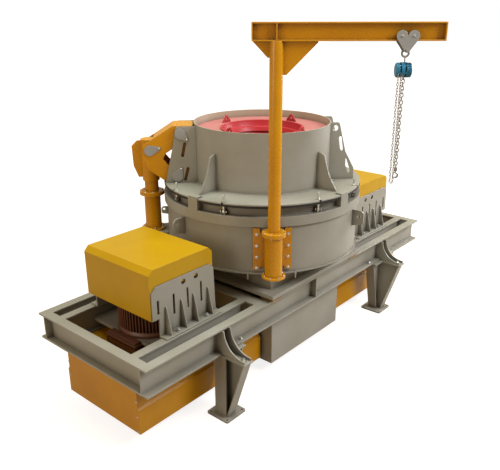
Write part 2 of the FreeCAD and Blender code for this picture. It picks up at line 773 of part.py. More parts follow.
def lid_lugs():
    """Make the pair that the lifter holds and the pair on the far side."""
    root = "hopper_radius - 6 * %d" % PAST
    lug_pair("lifting_lugs", "lifter_bearing",
             [(root, "cover_top"), (root, "lifting_lug_top"), ("lifting_lug_head", "lifting_lug_top"),
              ("lifting_lug_shoulder", "lifting_lug_shoulder_height"), ("lifting_lug_neck", "lifting_lug_neck_height"),
              ("lifting_lug_waist", "lifting_lug_waist_height"), ("lifting_lug_foot", "lifting_lug_foot_height"),
              ("lifting_lug_foot", "cover_top")],
             [("high_pin_place - 52", "high_pin_height - 120", "high_pin_place - 21", "high_pin_height - 260"),
              ("low_pin_place - 128", "low_pin_height + 95", "low_pin_place - 93", "low_pin_height - 40")],
             [("high_pin_place", "high_pin_height"), ("low_pin_place", "low_pin_height")])
    lug_pair("spare_lugs", "lifter_bearing + 180",
             [(root, "cover_top"), (root, "hopper_top"), ("spare_lug_head", "hopper_top"),
              ("spare_lug_shoulder", "spare_lug_shoulder_height"), ("spare_lug_neck", "spare_lug_neck_height"),
              ("spare_lug_foot", "spare_lug_foot_height"), ("spare_lug_foot", "cover_top")],
             [("spare_lug_neck - 68", "spare_lug_neck_height + 165", "spare_lug_neck - 48", "spare_lug_neck_height + 25"),
              ("spare_lug_foot - 108", "spare_lug_foot_height + 100", "spare_lug_foot - 59",
               "spare_lug_foot_height - 40")],
             [("spare_hole_place", "spare_hole_height")])


def feed():
    """Make the feed plate and the funnel with its four eyes."""
    top = "feed_plate_top"
    bottom = "feed_plate_top - feed_plate_thickness"
    node("feed_plate", cut("feed_plate", rod("feed_disc", "hopper_radius - hopper_wall", bottom, top),
                           [rod("feed_hole", "feed_opening", *past((bottom, top)))]))
    outside = cone("funnel_outside", "funnel_throat + funnel_wall", "feed_opening", "funnel_bottom", top)
    inside = cone("funnel_inside", "funnel_throat", "feed_opening - funnel_wall", "funnel_bottom + funnel_floor",
                  "%s + %d" % (top, PAST))
    bowl = cut("funnel_bowl", outside, [inside])
    rim = (top, top + " + funnel_lip_height")
    lip = cut("funnel_lip", rod("lip_outside", "feed_opening + funnel_lip_width", *rim),
              [rod("lip_inside", "feed_opening - funnel_wall", *past(rim))])
    shell = fuse("funnel_shell", [bowl, lip])
    eyes = []
    for number in range(4):
        blank = plate("eye_%d" % number, "yz", "eye_radius", "eye_plate",
                      [("-eye_foot_half", top), ("-eye_head_half", top + " + eye_height"),
                       ("eye_head_half", top + " + eye_height"), ("eye_foot_half", top)])
        hole = rod("eye_hole_%d" % number, "eye_hole", *around("eye_radius", "eye_plate"),
                   ("0", top + " + eye_hole_height"), "x")
        eyes.append(turn(cut("eye_cut_%d" % number, blank, [hole]), str(90 * number)))
    node("feed_funnel", group("feed_funnel", [shell] + eyes))


def lid():
    """Make all that lifts with the cover, apart from the lifter's own pieces."""
    cover()
    clamps()
    hopper()
    lid_lugs()
    feed()


# Lid lifter
def lifter_stand():
    """Make the bracket on the body and the post that stands on it."""
    foot = "lifter_foot"
    shelf_top = "lifter_foot - lifter_flange_thickness"
    root = "body_radius - 2 * shelf_thickness"
    shelf = block("shelf", (root, "lifter_offset + shelf_reach"), around("0", "shelf_half"),
                  (shelf_top + " - shelf_thickness", shelf_top))
    under = shelf_top + " - shelf_thickness"
    ribs = [plate("shelf_rib_%d" % (number + 1), "xz", "%d * shelf_rib_spacing / 2" % number, "shelf_rib_plate",
                  [(root, under + " - shelf_rib_depth"), (root, under), ("lifter_offset + shelf_reach", under),
                   ("lifter_offset + shelf_reach", under + " - shelf_rib_nose")])
            for number in (-1, 1)]
    drum = rod("shelf_drum", "body_radius", under + " - shelf_rib_depth - %d" % PAST, foot)
    flange = rod("shelf_flange", "body_radius + body_flange", "body_bottom", "body_bottom + body_flange_thickness")
    node("lifter_bracket", turn(cut("lifter_bracket", fuse("shelf_weld", [shelf] + ribs), [drum, flange]),
                                "lifter_bearing"))
    at = ("lifter_offset", "0")
    pieces = [rod("post_low", "lifter_tube", shelf_top, "lifter_joint", at),
              rod("post_high", "lifter_upper_tube", "lifter_joint", "lifter_upper_top", at),
              rod("post_foot", "lifter_flange", shelf_top, foot, at),
              rod("post_joint", "lifter_flange", *around("lifter_joint", "lifter_flange_thickness"), at)]
    node("lifter_post", turn(fuse("lifter_post", pieces), "lifter_bearing"))


HEAD_PIN = ("lifter_offset - head_pin_inset", "head_pin_height")
HIGH_PIN = ("high_pin_place", "high_pin_height")
LOW_PIN = ("low_pin_place", "low_pin_height")


def lifter_head():
    """Make the sleeve that slides on the post, with its fin and pin eye."""
    sleeve = rod("head_sleeve", "lifter_sleeve", "lifter_head_bottom", "lifter_head_top", ("lifter_offset", "0"))
    fin = plate("head_fin", "xz", "0", "head_fin_plate",
                [("lifter_offset + head_fin_root", "head_fin_low"), ("lifter_offset + head_fin_toe", "head_fin_low"),
                 ("lifter_offset + head_fin_reach - 2 * %d" % PAST, "head_fin_belly"),
                 ("lifter_offset + head_fin_reach", "head_fin_high"),
                 ("lifter_offset + head_fin_toe", "head_fin_top - 2 * %d" % PAST), ("lifter_offset", "head_fin_top"),
                 ("lifter_offset + head_fin_root", "head_fin_low + lifter_flange")])
    bore = rod("head_bore", "lifter_bore", "lifter_head_bottom - %d" % PAST, "lifter_upper_top + head_cap_gap",
               ("lifter_offset", "0"))
    eye = rod("head_eye", "pin_radius", *past(("-lifter_sleeve", "lifter_sleeve")), HEAD_PIN, "y")
    node("lifter_head", turn(cut("lifter_head", fuse("head_weld", [sleeve, fin]), [bore, eye]), "lifter_bearing"))


def lifter_arm():
    """Make the arm of two bored plates with a deck between them."""
    outline = [("arm_back", "arm_back_height"), ("arm_bend", "arm_top"), ("arm_tip", "arm_top"),
               ("arm_tip", "arm_nose_low"), ("arm_throat_place", "arm_throat_high"),
               ("arm_mouth_place", "arm_mouth_high"), ("arm_notch_place", "arm_notch_height"),
               ("arm_jaw_place", "arm_jaw_high"), ("arm_toe_place", "arm_toe_high"),
               ("arm_toe_place - 15", "arm_toe_low + 8"), ("arm_toe_place + 20", "arm_toe_low - 7"),
               ("arm_heel_place", "arm_toe_low"), ("arm_belly_place", "arm_belly_height"),
               ("arm_rump_place", "arm_rump_height")]
    arms = []
    for number in (-1, 1):
        middle = "%d * (arm_half_width - arm_plate / 2)" % number
        bores = [rod("arm_bore_%d%d" % (number + 1, place), "pin_radius + pin_clearance",
                     *around(middle, "arm_plate"), spot, "y")
                 for place, spot in enumerate((HEAD_PIN, HIGH_PIN, LOW_PIN))]
        arms.append(cut("arm_cut_%d" % (number + 1), plate("arm_%d" % (number + 1), "xz", middle, "arm_plate", outline),
                        bores))
    deck = plate("arm_deck", "xz", "0", "2 * (arm_half_width - arm_plate)",
                 [("arm_bend", "arm_top"), ("arm_tip", "arm_top"), ("arm_tip", "arm_top - 15"),
                  ("arm_bend - 6", "arm_top - 15"), ("arm_bend + 231", "arm_top - 164"),
                  ("arm_bend + 239", "arm_top - 151")])
    node("lifter_arm", turn(fuse("lifter_arm", arms + [deck]), "lifter_bearing"))


def pin(number, spot, tip, lean, half):
    """Make one pin with its keeper: a disc, a small round tip and the neck between them.

    lean holds the half width of the neck at the pin, along X and up.
    """
    x, z = spot
    outer = ("-(%s) - keeper_plate" % half, "-(%s)" % half)
    bar = rod("pin_%d" % number, "pin_radius", outer[0], half + " + keeper_plate", spot, "y")
    disc = rod("keeper_%d" % number, "keeper_radius", *outer, spot, "y")
    end = rod("keeper_tip_%d" % number, "keeper_tip", *outer, tip, "y")
    along, up = lean
    neck = plate("keeper_neck_%d" % number, "xz", "-(%s) - keeper_plate / 2" % half, "keeper_plate",
                 [("%s - %d" % (x, along), "%s + %d" % (z, up)), ("%s + %d" % (x, along), "%s - %d" % (z, up)),
                  ("%s + %d" % (tip[0], along // 3), "%s - %d" % (tip[1], up // 3)),
                  ("%s - %d" % (tip[0], along // 3), "%s + %d" % (tip[1], up // 3))])
    return fuse("pin_weld_%d" % number, [bar, disc, end, neck])


def lifter():
    """Make the lid lifter."""
    lifter_stand()
    lifter_head()
    lifter_arm()
    lug_half = "lid_lug_spacing / 2 + lid_lug_plate / 2"
    pins = [pin(0, HEAD_PIN, (HEAD_PIN[0] + " - keeper_reach", HEAD_PIN[1] + " + keeper_rise"), (12, 55),
                "arm_half_width"),
            pin(1, HIGH_PIN, (HIGH_PIN[0] + " - 0.76 * lug_keeper_reach", HIGH_PIN[1] + " - 0.65 * lug_keeper_reach"),
                (-40, -45), lug_half),
            pin(2, LOW_PIN, (LOW_PIN[0] + " - 0.47 * lug_keeper_reach", LOW_PIN[1] + " + 1.03 * lug_keeper_reach"),
                (-54, -24), lug_half)]
    node("lifter_pins", turn(group("lifter_pins", pins), "lifter_bearing"))


# Jib crane
JIB_AT = ("jib_offset * cos(jib_bearing * 1deg)", "jib_offset * sin(jib_bearing * 1deg)")
BEAM_TOP = "beam_bottom + beam_depth"
MIDDLE = "trolley_place"


def swung(thing):
    """Carry a thing from the beam's own place to the post."""
    return turn(thing, "jib_heading", *JIB_AT)


def jib_bracket():
    """Make the post's sleeve with its ring flanges, cheeks and bolted strips."""
    at = ("jib_offset", "0")
    root = "body_radius - 6 * %d" % PAST
    front = "body_radius + strip_thickness"
    cheek_up = ("sleeve_bottom + cheek_low", "sleeve_top - cheek_high")
    pieces = [rod("sleeve", "sleeve_radius", "sleeve_bottom", "sleeve_top", at),
              rod("sleeve_low_ring", "collar_radius", "sleeve_bottom", "sleeve_bottom + collar_thickness", at),
              rod("sleeve_ring", "collar_radius", "sleeve_top - collar_thickness", "sleeve_top", at)]
    for number in (-1, 1):
        strip = mirrored(number, "strip_half_span - strip_width", "strip_half_span")
        cheek = mirrored(number, "sleeve_radius - cheek_plate", "sleeve_radius")
        fill = mirrored(number, "sleeve_radius - cheek_plate", "strip_half_span - strip_width")
        pieces.append(block("strip_%d" % (number + 1), (root, front), strip, ("strip_bottom", "strip_top")))
        pieces.append(block("cheek_%d" % (number + 1), (root, "jib_offset"), cheek, cheek_up))
        pieces.append(block("fill_%d" % (number + 1), (root, front), fill, cheek_up))
    outside = rod("bracket_drum", "body_radius", "body_bottom", "sleeve_top + beam_width")
    bore = rod("sleeve_hole", "sleeve_bore", *past(("sleeve_bottom", "sleeve_top")), at)
    node("jib_bracket", turn(cut("jib_bracket", fuse("jib_bracket_weld", pieces), [outside, bore]), "jib_bearing"))


def jib_arm():
    """Make the post with its collar, and the beam with its knee plates."""
    collar = ("sleeve_top + seat_gap", "sleeve_top + seat_gap + collar_thickness")
    node("jib_post", swung(fuse("jib_post", [rod("jib_tube", "post_radius", "sleeve_bottom - post_end", "beam_bottom"),
                                             rod("jib_collar", "collar_radius", *collar)])))
    along = ("-beam_tail", "beam_reach")
    across = around("0", "beam_width / 2")
    up = ("beam_bottom", BEAM_TOP)
    root = "post_radius - %d" % PAST
    beam = [block("beam_low", along, across, ("beam_bottom", "beam_bottom + beam_flange")),
            block("beam_top", along, across, (BEAM_TOP + " - beam_flange", BEAM_TOP)),
            block("beam_middle", along, around("0", "beam_web / 2"), up),
            block("beam_stiffener", around("0", "knee_plate / 2"), across, up),
            block("beam_end_plate", ("-beam_tail", "-beam_tail + beam_flange"), across, up),
            block("beam_far_plate", ("beam_reach - beam_flange", "beam_reach"), across, up),
            plate("beam_knee", "xz", "0", "knee_plate",
                  [(root, "beam_bottom"), ("knee_reach", "beam_bottom"), ("knee_reach", "beam_bottom - knee_nose"),
                   ("knee_foot", "beam_bottom - knee_drop"), (root, "beam_bottom - knee_drop")]),
            plate("beam_tail_knee", "xz", "0", "knee_plate",
                  [("-(%s)" % root, "beam_bottom"), ("-beam_tail + tail_knee_inset", "beam_bottom"),
                   ("-tail_knee_foot", "beam_bottom - tail_knee_drop"), ("-(%s)" % root, "beam_bottom - tail_knee_drop")])]
    room = rod("beam_post_room", "post_radius", "beam_bottom - knee_drop - %d" % PAST, "beam_bottom")
    node("jib_beam", swung(cut("jib_beam", fuse("beam_weld", beam), [room])))


def trolley():
    """Make the trolley: two heart-shaped plates, four wheels, a pin and a link."""
    axle = "beam_bottom + beam_flange + wheel_radius + seat_gap"
    face = "beam_width / 2 + trolley_gap"
    eye = axle + " - trolley_drop"
    lobe_out = "axle_half + 0.9 * trolley_lobe"
    pieces = []
    for number in (-1, 1):
        skin = mirrored(number, face, face + " + trolley_plate")
        for way in (-1, 1):
            spot = "%s + %d * axle_half" % (MIDDLE, way)
            tag = "%d%d" % (number + 1, way + 1)
            tread = mirrored(number, "beam_width / 2 - wheel_reach", face + " + trolley_plate / 2")
            pieces.append(rod("trolley_lobe_" + tag, "trolley_lobe", *skin, (spot, axle), "y"))
            pieces.append(rod("wheel_" + tag, "wheel_radius", *tread, (spot, axle), "y"))
        pieces.append(rod("trolley_nose_%d" % (number + 1), "trolley_nose", *skin, (MIDDLE, eye), "y"))
        pieces.append(plate("trolley_side_%d" % (number + 1), "xz", "%d * (%s + trolley_plate / 2)" % (number, face),
                            "trolley_plate",
                            [("%s - (%s)" % (MIDDLE, lobe_out), axle + " - 0.4 * trolley_lobe"),
                             ("%s - axle_half" % MIDDLE, axle), ("%s + axle_half" % MIDDLE, axle),
                             ("%s + %s" % (MIDDLE, lobe_out), axle + " - 0.4 * trolley_lobe"),
                             ("%s + 0.9 * trolley_nose" % MIDDLE, eye + " - 0.4 * trolley_nose"),
                             ("%s - 0.9 * trolley_nose" % MIDDLE, eye + " - 0.4 * trolley_nose")]))
    pieces.append(rod("trolley_bolt", "trolley_pin", "-(%s + trolley_plate)" % face, face + " + trolley_plate",
                      (MIDDLE, eye), "y"))
    pieces.append(block("trolley_link", around(MIDDLE, "trolley_link_half"), around("0", "trolley_link_half"),
                        ("hoist_top", eye)))
    node("trolley", swung(fuse("trolley", pieces)))


def tackle():
    """Make the hoist, the load chain with its hook, and the hand chain's loop."""
    hub = (MIDDLE + " - hoist_inset", "(hoist_top + hoist_bottom) / 2")
    drum = "(hoist_top - hoist_bottom) / 2"
    pieces = [rod("hoist_drum_%d" % (number + 1), drum, *mirrored(number, "drum_inner", "drum_outer"), hub, "y")
              for number in (-1, 1)]
    pieces.append(block("hoist_core", around(hub[0], "hoist_core_half"), around("0", "drum_inner + trolley_plate"),
                        ("hoist_bottom + hoist_core_drop", "hoist_top")))
    node("hoist", swung(fuse("hoist", pieces)))

    strand = block("load_strand", around(MIDDLE, "chain_rod"), around("0", "chain_rod"),
                   ("hook_top", "hoist_bottom + hoist_core_drop"))
    shank = rod("hook_shank", "hook_shank", "hook_top - hook_shank_length", "hook_top", (MIDDLE, "0"))
    heart = "hook_top - hook_shank_length - hook_radius"
    thick = around("0", "hook_half")
    ring = rod("hook_outside", "hook_radius + hook_half", *thick, (MIDDLE, heart), "y")
    gap = block("hook_gap", (MIDDLE + " - hook_radius - 2 * hook_half", MIDDLE + " - hook_half"), past(thick),
                (heart + " + hook_half / 2", "hook_top - hook_shank_length + hook_half"))
    bowl = cut("hook_bowl", ring, [rod("hook_inside", "hook_radius - hook_half", *past(thick), (MIDDLE, heart), "y"), gap])
    node("load_chain", swung(fuse("load_chain", [strand, shank, bowl])))

    middle = MIDDLE + " - hand_chain_inset"
    rest = "hand_chain_bottom + hand_chain_half"
    across = around("-hand_chain_side", "chain_rod / 2")
    strands = [block("hand_strand_%d" % (number + 1), around("%s + %d * hand_chain_half" % (middle, number), "chain_rod / 2"),
                     across, (rest, hub[1])) for number in (-1, 1)]
    loop = cut("hand_loop", rod("loop_outside", "hand_chain_half + chain_rod / 2", *across, (middle, rest), "y"),
               [rod("loop_inside", "hand_chain_half - chain_rod / 2", *past(across), (middle, rest), "y"),
                block("loop_upper", around(middle, "2 * hand_chain_half"), past(across), (rest, rest + " + hand_chain_side"))])
    wheel = rod("hand_wheel_room", drum, *past(("-drum_outer", "-drum_inner")), hub, "y")
    node("hand_chain", swung(cut("hand_chain", fuse("hand_chain_weld", strands + [loop]), [wheel])))


def jib():
    """Make the jib crane."""
    jib_bracket()
    jib_arm()
    trolley()
    tackle()


# Drives
def hood(side, sign):
    """Make one motor hood of sheet, open below and behind the bracket plates."""
    def outline(near, far, top, low):
        """Give the hood's long section, chamfered at both upper corners."""
        points = ((near, low), (near, top + " - hood_chamfer"), (near + " + hood_chamfer", top),
                  (far + " - hood_chamfer", top), (far, top + " - hood_chamfer"), (far, low))
        return [("%d * (%s)" % (sign, x), z) for x, z in points]

    outside = outline("hood_near", "hood_far", "hood_top", "hood_bottom")
    inside = outline("hood_near + hood_sheet", "hood_far - hood_sheet", "hood_top - hood_sheet",
                     "hood_bottom - %d" % PAST)
    blank = plate(side + "_hood_blank", "xz", "0", "2 * hood_half_width", outside)
    room = plate(side + "_hood_room", "xz", "0", "2 * (hood_half_width - hood_sheet)", inside)
    window = block(side + "_hood_window", mirrored(sign, "hood_near + hood_margin", "hood_far - hood_margin"),
                   past(("-hood_half_width", "hood_half_width")),
                   ("hood_bottom - %d" % PAST, "bracket_top - hood_lap"))
    node(side + "_motor_hood", cut(side + "_hood_shell", blank, [room, window]))


SLOTS = (("bracket_slot_first", "bracket_notch_low"), ("bracket_slot_second", "bracket_slot_low"),
         ("bracket_slot_third", "bracket_slot_low"), ("bracket_slot_fourth", "bracket_slot_low"))
RIBS = ("rib_first", "rib_second", "rib_third", "rib_fourth")


def motor_brackets(side, sign):
    """Make the two ribbed, slotted plates that hold a motor and its hood."""
    pair = []
    for face, way in FACES:
        tag = "%s_bracket_%s" % (side, face)
        plane = "%d * (hood_half_width + bracket_plate / 2)" % way
        outline = [("%d * (%s)" % (sign, x), z) for x, z in (
            ("bracket_far", "frame_top"), ("bracket_far", "hood_bottom"), ("hood_far - bracket_end", "hood_bottom"),
            ("hood_far - bracket_end", "bracket_top - bracket_corner"),
            ("hood_far - bracket_end - bracket_corner", "bracket_top"), ("hood_near + bracket_corner", "bracket_top"),
            ("hood_near", "bracket_top - bracket_corner"), ("bracket_near", "frame_top"))]
        tools = [block("%s_slot_%d" % (tag, number), mirrored(sign, *around(x, "bracket_slot_half")),
                       around(plane, "bracket_plate"), (low, "bracket_slot_high"))
                 for number, (x, low) in enumerate(SLOTS)]
        tools += [rod("%s_hole_%d" % (tag, number), "bracket_hole", *around(plane, "bracket_plate"),
                      ("%d * %s" % (sign, x), "bracket_hole_height"), "y")
                  for number, x in enumerate(("bracket_hole_first", "bracket_hole_second"))]
        skin = "hood_half_width + bracket_plate"
        pieces = [cut(tag + "_cut", plate(tag + "_blank", "xz", plane, "bracket_plate", outline), tools),
                  block(tag + "_foot", mirrored(sign, "bracket_near", "bracket_far"),
                        mirrored(way, skin, skin + " + bracket_foot_width"), ("frame_top", "frame_top + bracket_foot"))]
        root = "hood_half_width + bracket_plate / 2"
        for number, x in enumerate(RIBS):
            pieces.append(plate("%s_rib_%d" % (tag, number), "yz", "%d * %s" % (sign, x), "rib_plate",
                                [("%d * (%s)" % (way, root), "frame_top"), ("%d * (%s)" % (way, root), "rib_top"),
                                 ("%d * (%s)" % (way, skin), "rib_top"),
                                 ("%d * (%s + rib_nose)" % (way, skin), "rib_top - rib_drop"),
                                 ("%d * (%s + rib_reach)" % (way, skin), "frame_top")]))
        pair.append(fuse(tag, pieces))
    node(side + "_motor_brackets", group(side + "_motor_brackets", pair))


def motor(side, sign):
    """Make one finned upright motor on its bed between the rails."""
    at = ("%d * motor_middle" % sign, "0")
    pieces = [rod(side + "_motor_core", "motor_radius", "motor_bottom", "motor_top", at)]
    fins = 18
    for number in range(fins):
        fin = block("%s_fin_%d" % (side, number), ("motor_radius - motor_fin_root", "motor_fin_radius"),
                    around("0", "motor_fin_half"), ("motor_bottom + motor_fin_low", "motor_top - motor_fin_high"))
        pieces.append(turn(fin, str(360 / fins * number), at[0], "0"))
    reach = "rail_outer - rail_width / 2 - web_thickness / 2"
    pieces.append(block(side + "_motor_bed", around(at[0], "motor_bed_half"), ("-(%s)" % reach, reach),
                        ("motor_bottom - motor_bed_thickness", "motor_bottom")))
    pieces.append(block(side + "_motor_ledge", mirrored(sign, "motor_middle + motor_ledge_near",
                                                        "motor_middle + motor_ledge_far"),
                        around("0", "motor_ledge_half"), ("motor_bottom", "motor_bottom + motor_ledge_height")))
    node(side + "_motor", fuse(side + "_motor", pieces))


def belt_guard(side, sign):
    """Make one belt guard, folded in above its lower edge."""
    middle = "%d * (guard_near + guard_far) / 2" % sign
    upper = "guard_half_width - guard_inset"
    half = [(upper, UNDER_FRAME), (upper, "guard_fold + guard_inset"), ("guard_half_width", "guard_fold"),
            ("guard_half_width", "guard_bottom")]
    outline = [("-(%s)" % y, z) for y, z in reversed(half)] + half
    node(side + "_belt_guard", plate(side + "_belt_guard", "yz", middle, "guard_far - guard_near", outline))


def drives():
    """Make the hoods, motor brackets, motors and belt guards."""
    for side, sign in SIDES:
        hood(side, sign)
        motor_brackets(side, sign)
        motor(side, sign)
        belt_guard(side, sign)


def chute():
    """Make the open discharge chute under the body."""
    along = ("-chute_half_length", "chute_half_length")
    across = ("-chute_half_width", "chute_half_width")
    box = block("chute_box", along, across, ("chute_bottom", UNDER_FRAME))
    room = block("chute_room", ("-chute_half_length + chute_wall", "chute_half_length - chute_wall"),
                 ("-chute_half_width + chute_wall", "chute_half_width - chute_wall"),
                 ("chute_bottom - %d" % PAST, UNDER_FRAME + " - chute_wall"))
    lip = block("chute_lip_plate", along, ("-chute_half_width - chute_lip", "chute_half_width + chute_lip"),
                (UNDER_FRAME + " - chute_wall", UNDER_FRAME))
    node("discharge_chute", fuse("discharge_chute", [cut("chute_shell", box, [room]), lip]))


def write():
    """Recompute, check every object and write one STEP file for each node."""
    doc.recompute()
    for thing in doc.Objects:
        if "Invalid" in thing.State or "Error" in thing.State:
            raise RuntimeError("%s failed: %s" % (thing.Name, thing.State))
    os.makedirs("parts", exist_ok=True)
    for thing in NODES:
        shape = thing.Shape
        if shape.isNull() or not shape.isValid() or not shape.Solids:
            raise RuntimeError("bad shape in " + thing.Label)
        shape.exportStep("parts/%s.step" % thing.Label)
        print(thing.Label, len(shape.Solids), round(shape.Volume / 1e9, 5))


frame()
legs()
body()
lid()
lifter()
jib()
drives()
chute()
write()
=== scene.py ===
"""Looks of a vertical shaft impact crusher with twin motors, a jib crane and a lid lifter.

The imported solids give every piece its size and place. This file paints them and adds the
legs' plates, the lifter's keepers, the fasteners, chains, castings and welds, whose
surfaces are worked out with numpy. All lengths are in metres unless a name says
millimetres, and all bearings are in degrees from the x axis.
"""

import logging
import math
from dataclasses import dataclass, replace
from enum import Enum
from typing import Protocol, Sequence

import bpy
import numpy as np
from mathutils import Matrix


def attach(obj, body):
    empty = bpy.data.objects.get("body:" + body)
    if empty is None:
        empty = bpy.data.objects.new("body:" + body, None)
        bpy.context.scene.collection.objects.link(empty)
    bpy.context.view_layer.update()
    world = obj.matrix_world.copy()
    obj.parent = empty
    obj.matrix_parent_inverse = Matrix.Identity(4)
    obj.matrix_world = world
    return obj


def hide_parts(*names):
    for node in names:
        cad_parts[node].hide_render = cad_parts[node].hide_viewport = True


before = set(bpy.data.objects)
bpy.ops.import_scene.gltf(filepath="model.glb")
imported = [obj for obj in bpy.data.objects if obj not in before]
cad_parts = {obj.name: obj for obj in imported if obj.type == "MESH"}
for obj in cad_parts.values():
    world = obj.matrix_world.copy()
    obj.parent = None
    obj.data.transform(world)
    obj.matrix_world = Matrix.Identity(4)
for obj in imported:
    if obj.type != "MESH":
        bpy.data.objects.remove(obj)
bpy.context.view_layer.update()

log = logging.getLogger("crusher")
MM = 0.001
FULL_TURN = 2.0 * math.pi
Array = np.ndarray
UP = np.array([0.0, 0.0, 1.0])
# An outline drawn in x and z is extruded along y, and one drawn in y and z along x. A turned
# part is laid along y.
SIDE_ON = np.array([[1.0, 0.0, 0.0], [0.0, 0.0, -1.0], [0.0, 1.0, 0.0]])
END_ON = np.array([[0.0, 0.0, 1.0], [1.0, 0.0, 0.0], [0.0, 1.0, 0.0]])
LYING = np.array([[1.0, 0.0, 0.0], [0.0, 0.0, 1.0], [0.0, -1.0, 0.0]])
QUARTERS = 90.0 * np.arange(4)
CLAMP_SPREAD = 26.5
WHITE = (1.0, 1.0, 1.0, 1.0)


class Body(Enum):
    """The rigid bodies that pieces ride on."""

    MACHINE = "machine"
    LID = "lid"
    JIB = "jib"
    TROLLEY = "hoist_trolley"


def linear(hex_colour: str) -> tuple[float, float, float, float]:
    """Turn an sRGB hex colour into linear RGBA.

    Args:
        hex_colour: six hex digits.

    Returns:
        Linear red, green and blue with an alpha of one.
    """
    parts = np.array([int(hex_colour[i:i + 2], 16) for i in (0, 2, 4)]) / 255.0
    low, high = parts / 12.92, ((parts + 0.055) / 1.055) ** 2.4
    red, green, blue = np.where(parts <= 0.04045, low, high)
    return float(red), float(green), float(blue), 1.0


def add(tree: bpy.types.NodeTree, kind: str, links: dict | None = None, **settings: object) -> bpy.types.Node:
    """Add a node, set its properties and inputs, and link what feeds it.

    Args:
        tree: the material's node tree.
        kind: the node's type name without the ShaderNode prefix.
        links: input name or number to an output socket or a plain value.
        settings: the node's own properties.

    Returns:
        The new node.
    """
    made = tree.nodes.new("ShaderNode" + kind)
    for name, value in settings.items():
        setattr(made, name, value)
    for name, value in (links or {}).items():
        if isinstance(value, bpy.types.NodeSocket):
            tree.links.new(value, made.inputs[name])
        else:
            made.inputs[name].default_value = value
    return made


def blank_material(name: str) -> tuple[bpy.types.Material, bpy.types.NodeTree, bpy.types.NodeSocket]:
    """Start an empty node material.

    Args:
        name: the material's name.

    Returns:
        The material, its tree and the Object coordinate socket.
    """
    material = bpy.data.materials.new(name)
    material.use_nodes = True
    tree = material.node_tree
    tree.nodes.clear()
    return material, tree, add(tree, "TexCoord").outputs["Object"]


class Finish(Protocol):
    """Anything with a name that can build a material."""

    name: str

    def build(self) -> bpy.types.Material:
        """Build the material."""


